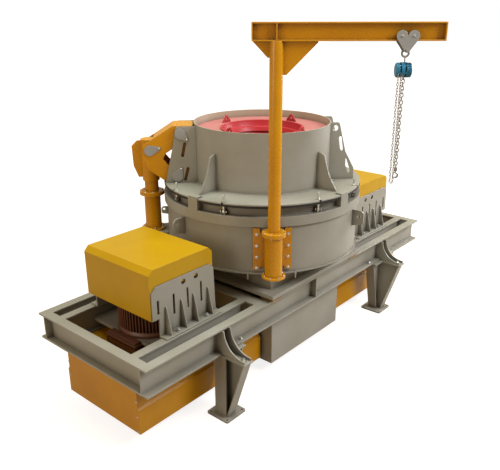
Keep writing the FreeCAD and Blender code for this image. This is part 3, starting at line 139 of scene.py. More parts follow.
@dataclass(frozen=True)
class SprayPaint:
    """Two-pack machine paint sprayed on welded steel.

    To the eye it is satin with faint orange peel. Seams and recesses are darkened as painted
    shade, and edges are lightened as a painted highlight.
    """

    name: str
    colour: str
    shade: str
    # edge: the colour of the painted highlight along edges
    edge: str
    # seam: the colour of the painted shade in seams and recesses
    seam: str
    roughness: float = 0.42
    cloud_mm: float = 420.0
    peel_mm: float = 7.0
    peel_depth_mm: float = 0.12
    edge_mm: float = 4.5
    shade_reach_mm: float = 110.0
    painted_shade_depth: float = 0.80
    gloss: float = 0.4
    inside: str = ""
    inside_radius: float = 0.0
    grit_mm: float = 18.0
    painted_shade_range: tuple[float, float] = (0.20, 0.80)
    highlight_range: tuple[float, float] = (0.985, 0.90)
    highlight_strength: float = 0.75

    def tone(self, tree: bpy.types.NodeTree, place: bpy.types.NodeSocket) -> bpy.types.NodeSocket:
        """Cloud the colour, and switch to the inside colour within a radius.

        Args:
            tree: the material's node tree.
            place: the Object coordinate socket.

        Returns:
            The colour socket before seams and edges.
        """
        cloud = add(tree, "TexNoise", {"Vector": place, "Scale": 1.0 / (self.cloud_mm * MM), "Detail": 5.0,
                                       "Roughness": 0.55})
        tint = add(tree, "ValToRGB", {"Fac": cloud.outputs["Fac"]})
        tint.color_ramp.elements[0].position, tint.color_ramp.elements[1].position = 0.32, 0.68
        tint.color_ramp.elements[0].color = linear(self.shade)
        tint.color_ramp.elements[1].color = linear(self.colour)
        if not self.inside:
            return tint.outputs["Color"]
        flat = add(tree, "VectorMath", {0: place, 1: (1.0, 1.0, 0.0)}, operation="MULTIPLY")
        reach = add(tree, "VectorMath", {0: flat.outputs["Vector"]}, operation="LENGTH")
        within = add(tree, "Math", {0: reach.outputs["Value"], 1: self.inside_radius}, operation="LESS_THAN")
        inside_tone = add(tree, "MixRGB", {"Fac": within.outputs[0], "Color1": tint.outputs["Color"],
                                    "Color2": linear(self.inside)})
        return inside_tone.outputs["Color"]

    def build(self) -> bpy.types.Material:
        """Build the paint's nodes.

        Returns:
            The material.
        """
        material, tree, place = blank_material(self.name)
        colour = self.tone(tree, place)
        # Ambient occlusion mixes the seam colour into seams and recesses: painted shade.
        occlusion = add(tree, "AmbientOcclusion", {"Distance": self.shade_reach_mm * MM}, samples=4)
        grit = add(tree, "TexNoise", {"Vector": place, "Scale": 1.0 / (self.grit_mm * MM), "Detail": 3.0})
        painted_shade = add(tree, "MapRange", {"Value": occlusion.outputs["AO"], "From Min": self.painted_shade_range[0],
                                      "From Max": self.painted_shade_range[1], "To Min": self.painted_shade_depth, "To Max": 0.0})
        with_painted_shade = add(tree, "MixRGB", {"Fac": painted_shade.outputs["Result"], "Color1": colour,
                                      "Color2": linear(self.seam)})
        # Where the rounded normal bends from the true one, the edge colour is mixed in outside the painted shade: a
        # painted highlight.
        rounded = add(tree, "Bevel", {"Radius": self.edge_mm * MM}, samples=4)
        facing = add(tree, "NewGeometry")
        bend = add(tree, "VectorMath", {0: rounded.outputs["Normal"], 1: facing.outputs["Normal"]},
                   operation="DOT_PRODUCT")
        painted_highlight = add(tree, "MapRange", {"Value": bend.outputs["Value"], "From Min": self.highlight_range[0],
                                        "From Max": self.highlight_range[1], "To Min": 0.0, "To Max": self.highlight_strength})
        highlight_out_of_shade = add(tree, "Math", {0: painted_highlight.outputs["Result"], 1: occlusion.outputs["AO"]}, operation="MULTIPLY")
        highlighted = add(tree, "MixRGB", {"Fac": highlight_out_of_shade.outputs[0], "Color1": with_painted_shade.outputs["Color"],
                                     "Color2": linear(self.edge)})
        rough = add(tree, "MapRange", {"Value": grit.outputs["Fac"], "From Min": 0.3, "From Max": 0.7,
                                       "To Min": self.roughness - 0.05, "To Max": self.roughness + 0.07})
        peel = add(tree, "TexNoise", {"Vector": place, "Scale": 1.0 / (self.peel_mm * MM), "Detail": 2.0})
        bump = add(tree, "Bump", {"Height": peel.outputs["Fac"], "Normal": rounded.outputs["Normal"],
                                  "Strength": 0.35, "Distance": self.peel_depth_mm * MM})
        skin = add(tree, "BsdfPrincipled", {"Base Color": highlighted.outputs["Color"], "Roughness": rough.outputs["Result"],
                                            "Normal": bump.outputs["Normal"], "Specular IOR Level": self.gloss})
        add(tree, "OutputMaterial", {"Surface": skin.outputs["BSDF"]})
        return material


@dataclass(frozen=True)
class BareMetal:
    """Plated or machined steel: fine scratches over a cloudy plating give soft, broken highlights."""

    name: str
    colour: str
    roughness: float = 0.32
    scratch_mm: float = 2.5

    def build(self) -> bpy.types.Material:
        """Build the metal's nodes.

        Returns:
            The material.
        """
        material, tree, place = blank_material(self.name)
        long = add(tree, "Mapping", {"Vector": place, "Scale": (1.0, 1.0, 0.12)})
        hair = add(tree, "TexNoise", {"Vector": long.outputs["Vector"], "Scale": 1.0 / (self.scratch_mm * MM),
                                      "Detail": 4.0})
        rough = add(tree, "MapRange", {"Value": hair.outputs["Fac"], "From Min": 0.3, "From Max": 0.7,
                                       "To Min": self.roughness - 0.08, "To Max": self.roughness + 0.14})
        cloud = add(tree, "TexNoise", {"Vector": place, "Scale": 1.0 / (30.0 * MM), "Detail": 3.0})
        dark = tuple(0.72 * part for part in linear(self.colour)[:3]) + (1.0,)
        tint = add(tree, "MixRGB", {"Fac": cloud.outputs["Fac"], "Color1": dark, "Color2": linear(self.colour)})
        bump = add(tree, "Bump", {"Height": hair.outputs["Fac"], "Strength": 0.2, "Distance": 0.05 * MM})
        skin = add(tree, "BsdfPrincipled", {"Base Color": tint.outputs["Color"], "Metallic": 1.0,
                                            "Roughness": rough.outputs["Result"], "Normal": bump.outputs["Normal"]})
        add(tree, "OutputMaterial", {"Surface": skin.outputs["BSDF"]})
        return material


@dataclass(frozen=True)
class MouldedRubber:
    """Moulded natural rubber of a machine mount: near black and dull, with a mould's fine grain."""

    name: str = "moulded_rubber"
    colour: str = "1B1A19"

    def build(self) -> bpy.types.Material:
        """Build the rubber's nodes.

        Returns:
            The material.
        """
        material, tree, place = blank_material(self.name)
        grain = add(tree, "TexNoise", {"Vector": place, "Scale": 1.0 / (3.0 * MM), "Detail": 2.0})
        bump = add(tree, "Bump", {"Height": grain.outputs["Fac"], "Strength": 0.4, "Distance": 0.1 * MM})
        skin = add(tree, "BsdfPrincipled", {"Base Color": linear(self.colour), "Roughness": 0.75,
                                            "Normal": bump.outputs["Normal"]})
        add(tree, "OutputMaterial", {"Surface": skin.outputs["BSDF"]})
        return material


@dataclass(frozen=True)
class StudioFloor:
    """Pale matt floor that keeps the object's soft shadow and reads white to the camera.

    Its glow grows with the distance, so that no horizon shows.
    """

    name: str = "studio_floor"
    colour: str = "A89E90"
    lift: float = 0.84
    near: float = 4.5
    far: float = 10.0

    def build(self) -> bpy.types.Material:
        """Build the floor's nodes.

        Returns:
            The material.
        """
        material, tree, place = blank_material(self.name)
        reach = add(tree, "VectorMath", {0: place}, operation="LENGTH")
        glow = add(tree, "MapRange", {"Value": reach.outputs["Value"], "From Min": self.near, "From Max": self.far,
                                      "To Min": self.lift, "To Max": 1.0})
        rays = add(tree, "LightPath")
        mirrored = add(tree, "Math", {0: rays.outputs["Is Glossy Ray"], 1: 0.25}, operation="MULTIPLY")
        seen = add(tree, "Math", {0: rays.outputs["Is Camera Ray"], 1: mirrored.outputs[0]}, operation="MAXIMUM")
        shown = add(tree, "Math", {0: seen.outputs[0], 1: glow.outputs["Result"]}, operation="MULTIPLY")
        skin = add(tree, "BsdfPrincipled", {"Base Color": linear(self.colour), "Roughness": 0.35,
                                            "Emission Color": WHITE,
                                            "Emission Strength": shown.outputs[0]})
        add(tree, "OutputMaterial", {"Surface": skin.outputs["BSDF"]})
        return material


# Two-pack machine grey: satin and warm, with faint clouds over the large plates.
GREY = SprayPaint("grey_machine_paint", "99958A", "908C7E", "C9C7BD", "352F26", 0.42)
# The same grey on the hopper's outside, with a beige colour inside it: flat and brownish.
GREY_BEIGE_INSIDE = replace(GREY, name="grey_paint_beige_inside", inside="A3937F", inside_radius=0.831)
# Yellow enamel of the hoods: smooth, with a soft light across the tops.
YELLOW = SprayPaint("yellow_hood_paint", "BC9200", "B58A00", "E4C24A", "553503", 0.34, gloss=0.3)
# Orange-yellow crane enamel: the glossiest coat, with a narrow streak of light down the posts.
AMBER = SprayPaint("amber_crane_paint", "CE8E00", "C68600", "F2BC58", "4E2C06", 0.26, gloss=0.38)
# The guards' coat: the same family of colour, painted deeper and duller for the shade that the guards lie in.
SHADED_GUARD_YELLOW = SprayPaint("guard_yellow_with_painted_shade", "C08600", "B57B00", "E2B04C", "482A06", 0.34, gloss=0.3)
# Red oxide enamel of the funnel: even and satin.
RED = SprayPaint("red_liner_paint", "B3282E", "A82329", "D0565B", "5E0F12", 0.42)
# Thin red rubbed over a pale plate: dull pink.
PINK = SprayPaint("pale_red_wear_plate_paint", "BA746F", "B36D68", "DBA29E", "7A3E3B", 0.5)
# Baked motor enamel: brown red, with painted shade between the fins.
MAROON = SprayPaint("maroon_motor_enamel", "6E4432", "5C3829", "8A6250", "1A0D09", 0.38)
# Hoist enamel: clear blue with painted highlights along its edges.
BLUE = SprayPaint("blue_hoist_enamel", "21789C", "1B698A", "6AA8BE", "0A2630", 0.30)
# Light grey paint on flame-cut plates and pins: plain and a little glossy.
PIN_GREY = SprayPaint("grey_pin_paint", "9B9A96", "92918D", "D2D1CC", "45433D", 0.36)
# Chain wheels in the hoist's slots: dark steel, painted near black for the slots' shade, and dull.
WHEEL_SLOT_SHADE = SprayPaint("chain_wheel_steel_painted_shade", "1C1B18", "161512", "4A4740", "0B0A09", 0.6)
# Bright zinc on bolts: small, clear highlights.
ZINC = BareMetal("bright_zinc_plate", "DADBD7", 0.28)
# Galvanised chain: a duller grey metal.
CHAIN_STEEL = BareMetal("galvanised_chain_steel", "A9A9A4", 0.36)
RUBBER = MouldedRubber()


class Palette:
    """Builds each finish once and hands it out."""

    def __init__(self) -> None:
        """Start with no finish built."""
        self.built: dict[str, bpy.types.Material] = {}

    def of(self, finish: Finish) -> bpy.types.Material:
        """Return the material of a finish, building it at first use.

        Args:
            finish: one of the finishes above.

        Returns:
            Its material.
        """
        if finish.name not in self.built:
            self.built[finish.name] = finish.build()
        return self.built[finish.name]


PALETTE = Palette()


def turn_matrix(degrees: float) -> Array:
    """Return the matrix of a turn about the upright axis."""
    cosine, sine = math.cos(math.radians(degrees)), math.sin(math.radians(degrees))
    return np.array([[cosine, -sine, 0.0], [sine, cosine, 0.0], [0.0, 0.0, 1.0]])


@dataclass
class Shell:
    """Points and faces of one closed surface before it becomes a mesh."""

    points: Array
    faces: list

    def moved(self, offset: Sequence[float]) -> "Shell":
        """Return the shell shifted by an offset."""
        return Shell(self.points + np.asarray(offset, float), self.faces)

    def placed(self, axes: Array, offset: Sequence[float] = (0.0, 0.0, 0.0)) -> "Shell":
        """Return the shell turned by a matrix, then shifted."""
        return Shell(self.points @ np.asarray(axes, float).T + np.asarray(offset, float), self.faces)


def grid_faces(rows: int, columns: int, wrap_rows: bool, wrap_columns: bool = True) -> list:
    """Index the quads of a grid of points.

    Args:
        rows: number of rows of points.
        columns: number of points in a row.
        wrap_rows: whether the last row joins the first.
        wrap_columns: whether the last column joins the first.

    Returns:
        Four indices a quad, facing away from the axis that the columns go round.
    """
    row, column = np.meshgrid(np.arange(rows if wrap_rows else rows - 1),
                              np.arange(columns if wrap_columns else columns - 1), indexing="ij")
    row, column = row.ravel(), column.ravel()
    below, beside = (row + 1) % rows, (column + 1) % columns
    return np.stack([row * columns + column, row * columns + beside, below * columns + beside,
                     below * columns + column], axis=1).tolist()


def skin(loops: Array, ring: bool = False) -> Shell:
    """Stretch a surface over loops of points, from the lowest loop to the highest.

    Point (i, j) is joined to (i, j + 1) and (i + 1, j). The loops run anticlockwise seen
    from the far end. A ring joins the last loop to the first, otherwise both ends are
    closed by one face.

    Args:
        loops: an array of loops, points and coordinates.
        ring: whether the last loop joins the first.

    Returns:
        The closed shell.
    """
    rows, columns = loops.shape[:2]
    faces = grid_faces(rows, columns, ring)
    if not ring:
        faces.append(list(range(columns))[::-1])
        faces.append(list(range((rows - 1) * columns, rows * columns)))
    return Shell(loops.reshape(-1, 3), faces)


def lathe(profile: Sequence[Sequence[float]], segments: int, ring: bool = False, start: float = 0.0) -> Shell:
    """Turn a profile about the upright axis.

    A point at radius r and height z goes to (r cos a, r sin a, z) for each angle a. The
    profile runs up the outside. A ring's profile also comes down the inside.

    Args:
        profile: rows of radius and height, all with a radius above zero.
        segments: number of flats round the axis.
        ring: whether the profile is a loop.
        start: angle of the first column.

    Returns:
        The closed shell.
    """
    rows = np.asarray(profile, float)
    angles = start + np.linspace(0.0, FULL_TURN, segments, endpoint=False)
    radius, height = rows[:, :1], rows[:, 1:]
    loops = np.stack([radius * np.cos(angles), radius * np.sin(angles),
                      np.broadcast_to(height, (len(rows), segments))], axis=-1)
    return skin(loops, ring)


def tube(path: Array, radius: float | Array, sides: int, closed: bool = False) -> Shell:
    """Carry a circle along a path.

    At each point the tangent t is the central difference. With w the direction across
    which the path spreads least, the circle's axes are t x w and t x (t x w).

    Args:
        path: rows of points.
        radius: the circle's radius, one for all or one for each point.
        sides: number of flats of the circle.
        closed: whether the path is a loop.

    Returns:
        The closed shell.
    """
    tangent = np.roll(path, -1, 0) - np.roll(path, 1, 0) if closed else np.gradient(path, axis=0)
    tangent = tangent / np.linalg.norm(tangent, axis=1, keepdims=True)
    spread = np.linalg.svd(path - path.mean(0), full_matrices=True)[2][2]
    first = np.cross(tangent, spread)
    first /= np.linalg.norm(first, axis=1, keepdims=True)
    second = np.cross(tangent, first)
    angles = np.linspace(0.0, FULL_TURN, sides, endpoint=False)
    size = np.broadcast_to(np.asarray(radius, float), (len(path),))[:, None, None]
    ring = np.cos(angles)[None, :, None] * first[:, None, :] + np.sin(angles)[None, :, None] * second[:, None, :]
    return skin(path[:, None, :] + size * ring, closed)


def prism(outline: Array, low: float, high: float, axes: Array = np.eye(3)) -> Shell:
    """Extrude an anticlockwise outline from one level to another.

    A point (u, v) goes to u a + v b + w c, where a, b and c are the columns of axes and w
    is the level.

    Args:
        outline: rows of u and v.
        low: the first level.
        high: the second level.
        axes: right-handed matrix of the three directions.

    Returns:
        The closed shell.
    """
    levels = np.array([low, high])
    loops = np.stack([np.column_stack([outline, np.full(len(outline), level)]) for level in levels])
    return skin(loops).placed(axes)


def holed_plate(outer: Array, inner: Array, low: float, high: float, axes: Array = np.eye(3)) -> Shell:
    """Extrude a plate with one hole, between two outlines with as many points each.

    The loops are the outer edge at both levels, then the hole's edge at both.

    Args:
        outer: rows of u and v, anticlockwise.
        inner: the hole's outline, point for point with the outer one.
        low: the first level.
        high: the second level.
        axes: right-handed matrix of the three directions.

    Returns:
        The closed shell.
    """
    loops = np.stack([np.column_stack([edge, np.full(len(edge), level)])
                      for edge, level in ((outer, low), (outer, high), (inner, high), (inner, low))])
    return skin(loops, ring=True).placed(axes)


def disc_union(discs: Sequence[Sequence[float]], count: int) -> Array:
    """Trace the outline round overlapping discs that all see the origin.

    Along a direction d the outline lies at the largest d.c + sqrt(r^2 - |c|^2 + (d.c)^2)
    of the discs with centre c and radius r.

    Args:
        discs: rows of centre u, centre v and radius.
        count: number of points.

    Returns:
        Rows of u and v, anticlockwise.
    """
    angles = np.linspace(0.0, FULL_TURN, count, endpoint=False)
    way = np.stack([np.cos(angles), np.sin(angles)], axis=1)
    table = np.asarray(discs, float)
    along = way @ table[:, :2].T
    under = table[:, 2] ** 2 - (table[:, :2] ** 2).sum(1) + along ** 2
    reach = np.where(under >= 0.0, along + np.sqrt(np.maximum(under, 0.0)), 0.0).max(1)
    return way * reach[:, None]


def bases(normals: Array) -> Array:
    """Build a frame for each normal, with the normal as its third axis.

    Args:
        normals: rows of directions.

    Returns:
        One matrix a row whose columns are the three axes.
    """
    third = normals / np.linalg.norm(normals, axis=1, keepdims=True)
    helper = np.where(np.abs(third[:, 2:3]) < 0.9, np.array([[0.0, 0.0, 1.0]]), np.array([[1.0, 0.0, 0.0]]))
    first = np.cross(helper, third)
    first /= np.linalg.norm(first, axis=1, keepdims=True)
    return np.stack([first, np.cross(third, first), third], axis=2)


def stamp(shape: Shell, places: Array, turns: Array) -> Shell:
    """Copy a shape to many places.

    Each point p of the shape goes to turn p + place, all copies at once.

    Args:
        shape: the shape about its own origin.
        places: rows of positions.
        turns: one rotation matrix for each place.

    Returns:
        All copies as one shell.
    """
    points = np.einsum("nij,kj->nki", turns, shape.points) + places[:, None, :]
    count = len(shape.points)
    faces = [[index + count * copy for index in face] for copy in range(len(places)) for face in shape.faces]
    return Shell(points.reshape(-1, 3), faces)


def merge(shells: Sequence[Shell]) -> Shell:
    """Put shells into one, each still closed by itself.

    Args:
        shells: the shells in order.

    Returns:
        The one shell.
    """
    points, faces, base = [], [], 0
    for shell in shells:
        points.append(shell.points)
        faces.extend([index + base for index in face] for face in shell.faces)
        base += len(shell.points)
    return Shell(np.concatenate(points), faces)


def on_circle(radius: float | Array, angles: Array, height: float, centre: Sequence[float] = (0.0, 0.0)) -> Array:
    """Give points on a level circle, at angles in radians."""
    return np.stack([centre[0] + radius * np.cos(angles), centre[1] + radius * np.sin(angles),
                     np.full(len(angles), height)], axis=1)


def ring_places(radius: float, count: int, height: float, centre: Sequence[float] = (0.0, 0.0),
                phase: float = 0.0) -> Array:
    """Give points spaced evenly on a level circle, from a bearing in degrees on."""
    return on_circle(radius, math.radians(phase) + np.linspace(0, FULL_TURN, count, endpoint=False), height, centre)


def ripples(radius: float, count: int, swell: float = 0.12) -> Array:
    """Give a weld's radius, which swells and shrinks from ripple to ripple."""
    return radius * (1.0 + swell * np.cos(np.arange(count) * math.pi))


def round_weld(radius: float, height: float, bead: float, count: int, centre: Sequence[float] = (0.0, 0.0),
               swell: float = 0.12) -> Shell:
    """Lay a fillet weld round a pipe.

    Args:
        radius: the pipe's radius.
        height: the weld's height.
        bead: the bead's radius.
        count: number of ripples, both ways.
        centre: the pipe's axis.
        swell: share by which the bead swells.

    Returns:
        The closed ring.
    """
    return tube(ring_places(radius, count, height, centre), ripples(bead, count, swell), 6, closed=True)


def beads(lines: Array, radius: float, spacing: float = 12 * MM) -> Shell:
    """Lay fillet welds along straight lines.

    Each is a thin tube whose radius swells and shrinks from ripple to ripple.

    Args:
        lines: rows of a start and an end point.
        radius: the bead's radius.
        spacing: length of half a ripple.

    Returns:
        All beads as one shell.
    """
    made = []
    for start, end in lines:
        count = max(4, int(np.linalg.norm(end - start) / spacing))
        share = np.linspace(0.0, 1.0, count)[:, None]
        made.append(tube(start + share * (end - start), ripples(radius, count), 6))
    return merge(made)


def anticlockwise(outline: Sequence[Sequence[float]]) -> Array:
    """Put an outline's points in anticlockwise order, going by the sign of its area.

    Args:
        outline: rows of u and v.

    Returns:
        The same rows, turned round where they ran clockwise.
    """
    points = np.asarray(outline, float)
    beside = np.roll(points, -1, 0)
    area = (points[:, 0] * beside[:, 1] - points[:, 1] * beside[:, 0]).sum()
    return points if area > 0 else points[::-1]


def in_xz(outline: Sequence[Sequence[float]], low: float, high: float) -> Shell:
    """Extrude an outline of x and z from one y to another."""
    return prism(anticlockwise(outline), -high, -low, SIDE_ON)


def in_yz(outline: Sequence[Sequence[float]], low: float, high: float) -> Shell:
    """Extrude an outline of y and z from one x to another."""
    return prism(anticlockwise(outline), low, high, END_ON)


def box_shell(low: Sequence[float], high: Sequence[float]) -> Shell:
    """Extrude a rectangle between two opposite corners."""
    (x0, y0, z0), (x1, y1, z1) = low, high
    return prism(np.array([[x0, y0], [x1, y0], [x1, y1], [x0, y1]]), z0, z1)


def holed_by_rays(outer: Sequence[Sequence[float]], centre: Sequence[float], radius: float, low: float, high: float,
                  axes: Array = np.eye(3)) -> Shell:
    """Extrude a plate whose round hole has a point on the ray to each point of its outline.

    Args:
        outer: rows of u and v.
        centre: the hole's centre.
        radius: the hole's radius.
        low: the first level.
        high: the second level.
        axes: right-handed matrix of the three directions.

    Returns:
        The closed shell.
    """
    edge, middle = anticlockwise(outer), np.asarray(centre, float)
    way = edge - middle
    hole = middle + radius * way / np.linalg.norm(way, axis=1, keepdims=True)
    return holed_plate(edge, hole, low, high, axes)


def arc(centre: Sequence[float], radius: float, start: float, end: float, count: int) -> Array:
    """Give points on an arc between two directions in degrees."""
    turn = np.radians(np.linspace(start, end, count))
    return np.asarray(centre, float) + radius * np.stack([np.cos(turn), np.sin(turn)], axis=1)


def upright_oval(width: float, height: float, level: float, count: int, axis: int) -> Array:
    """Give points on an upright oval about the z axis.

    Args:
        width: half its width.
        height: half its height.
        level: its middle's height.
        count: number of points.
        axis: 0 where its width runs along x, 1 where it runs along y.

    Returns:
        Rows of points.
    """
    angles = np.linspace(0.0, FULL_TURN, count, endpoint=False)
    points = np.zeros((count, 3))
    points[:, axis], points[:, 2] = width * np.cos(angles), level + height * np.sin(angles)
    return points


def plumb_line(x: float, y: float, start: float, end: float, count: int) -> Array:
    """Give points on an upright line from one height to another."""
    return np.column_stack([np.full(count, x), np.full(count, y), np.linspace(start, end, count)])


def turns(bearings: Sequence[float]) -> Array:
    """Stack the turns about the upright axis for bearings in degrees."""
    return np.stack([turn_matrix(bearing) for bearing in bearings])


def all_round(shape: Shell) -> Shell:
    """Repeat a shape at each quarter of a turn."""
    return merge([shape.placed(axes) for axes in turns(QUARTERS)])


def paired_bearings(spread: float) -> Array:
    """Give two bearings beside each diagonal, a spread to either side of it."""
    return np.array([corner + side * spread for corner in (45, 135, 225, 315) for side in (-1, 1)])


def mirror(shell: Shell, along: int, across: int) -> Shell:
    """Mirror a shell in x and y by signs, turning its faces round where it is mirrored once."""
    faces = shell.faces if along * across > 0 else [face[::-1] for face in shell.faces]
    return Shell(shell.points * np.array([along, across, 1.0]), faces)


def loop_lines(corners: Sequence[Sequence[float]]) -> Array:
    """Join corners into a closed run of lines."""
    points = np.asarray(corners, float)
    return np.stack([points, np.roll(points, -1, 0)], axis=1)


def four_corners(points: Array) -> Array:
    """Mirror rows of points, or of lines, into all four quarters.

    Args:
        points: an array whose last axis holds x, y and z.

    Returns:
        The four copies one after another.
    """
    signs = np.array([[-1, -1, 1], [1, -1, 1], [-1, 1, 1], [1, 1, 1]], float)
    shape = (4,) + (1,) * (points.ndim - 1) + (3,)
    return (points[None] * signs.reshape(shape)).reshape((-1,) + points.shape[1:])


def linked(name: str, data: bpy.types.ID) -> bpy.types.Object:
    """Make an object from its data and put it into the scene."""
    made = bpy.data.objects.new(name, data)
    bpy.context.scene.collection.objects.link(made)
    return made


def piece(name: str, shell: Shell, finish: Finish, body: Body, replaces: Sequence[str] = (),
          crease: float = 35.0, bevel_mm: float = 0.0) -> None:
    """Make a mesh object from a shell, finish it and let it ride on a body.

    Args:
        name: the piece's name.
        shell: its points and faces, with faces outwards.
        finish: its material.
        body: the rigid body that it moves with.
        replaces: solids that the piece stands for.
        crease: angle in degrees past which an edge stays sharp.
        bevel_mm: width of a bevel on sharp edges, or zero.
    """
    mesh = bpy.data.meshes.new(name)
    mesh.from_pydata(shell.points.tolist(), [], shell.faces)
    mesh.validate()
    mesh.shade_smooth()
    mesh.set_sharp_from_angle(angle=math.radians(crease))
    mesh.materials.append(PALETTE.of(finish))
    made = linked(name, mesh)
    if bevel_mm:
        round_off = made.modifiers.new("worn_edge", "BEVEL")
        round_off.width, round_off.segments, round_off.limit_method = bevel_mm * MM, 2, "ANGLE"
    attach(made, body.value)
    if replaces:
        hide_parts(*replaces)
    log.info("%s: %d points on %s", name, len(shell.points), body.value)


def fasteners(name: str, shells: Sequence[Shell], body: Body, replaces: Sequence[str] = ()) -> None:
    """Make one piece of zinc-plated bolts or screws."""
    piece(name, merge(shells), ZINC, body, replaces, crease=30.0)


@dataclass(frozen=True)
class HexBolt:
    """A hexagon head on a washer, with its chamfer and its stud's end."""

    head: float
    height: float
    washer: float
    washer_height: float
    stud: float
    stud_height: float

    def shape(self) -> Shell:
        """Turn the washer, the hexagon and the stud, each a closed profile.

        Returns:
            The bolt, standing on level zero.
        """
        lift, bevel = self.washer_height, 0.16 * self.head
        top, tip = lift + self.height, lift + self.height + self.stud_height
        washer = lathe([[self.washer, 0], [self.washer, lift]], 18)
        head = lathe([[self.head, lift], [self.head, top - bevel], [self.head - bevel, top]], 6)
        stud = lathe([[self.stud, top], [self.stud, tip - 1.5 * MM], [self.stud - 1.5 * MM, tip]], 10)
        return merge([washer, head, stud])

    def at(self, places: Array, normal: Sequence[float]) -> Shell:
        """Set one bolt at each place, all facing one way."""
        return stamp(self.shape(), places, bases(np.tile(np.asarray(normal, float), (len(places), 1))))


SMALL = HexBolt(9 * MM, 8 * MM, 12 * MM, 2 * MM, 5 * MM, 4 * MM)
MIDDLE = HexBolt(14 * MM, 12 * MM, 18 * MM, 3 * MM, 8 * MM, 8 * MM)
LARGE = HexBolt(22 * MM, 17 * MM, 31 * MM, 5 * MM, 12 * MM, 12 * MM)
GIRDER_BOLT = HexBolt(16 * MM, 13 * MM, 23 * MM, 4 * MM, 9 * MM, 8 * MM)
STRIP_BOLT = HexBolt(13 * MM, 9 * MM, 18 * MM, 3 * MM, 7 * MM, 5 * MM)
CLAMP_NUT = HexBolt(20 * MM, 16 * MM, 26 * MM, 4 * MM, 12 * MM, 1.6 * MM)
COLLAR_BOLT = HexBolt(8 * MM, 4 * MM, 10 * MM, 0.8 * MM, 4 * MM, 0.4 * MM)
GUARD_SCREW = HexBolt(8 * MM, 5 * MM, 11 * MM, 1.5 * MM, 4 * MM, 1.5 * MM)


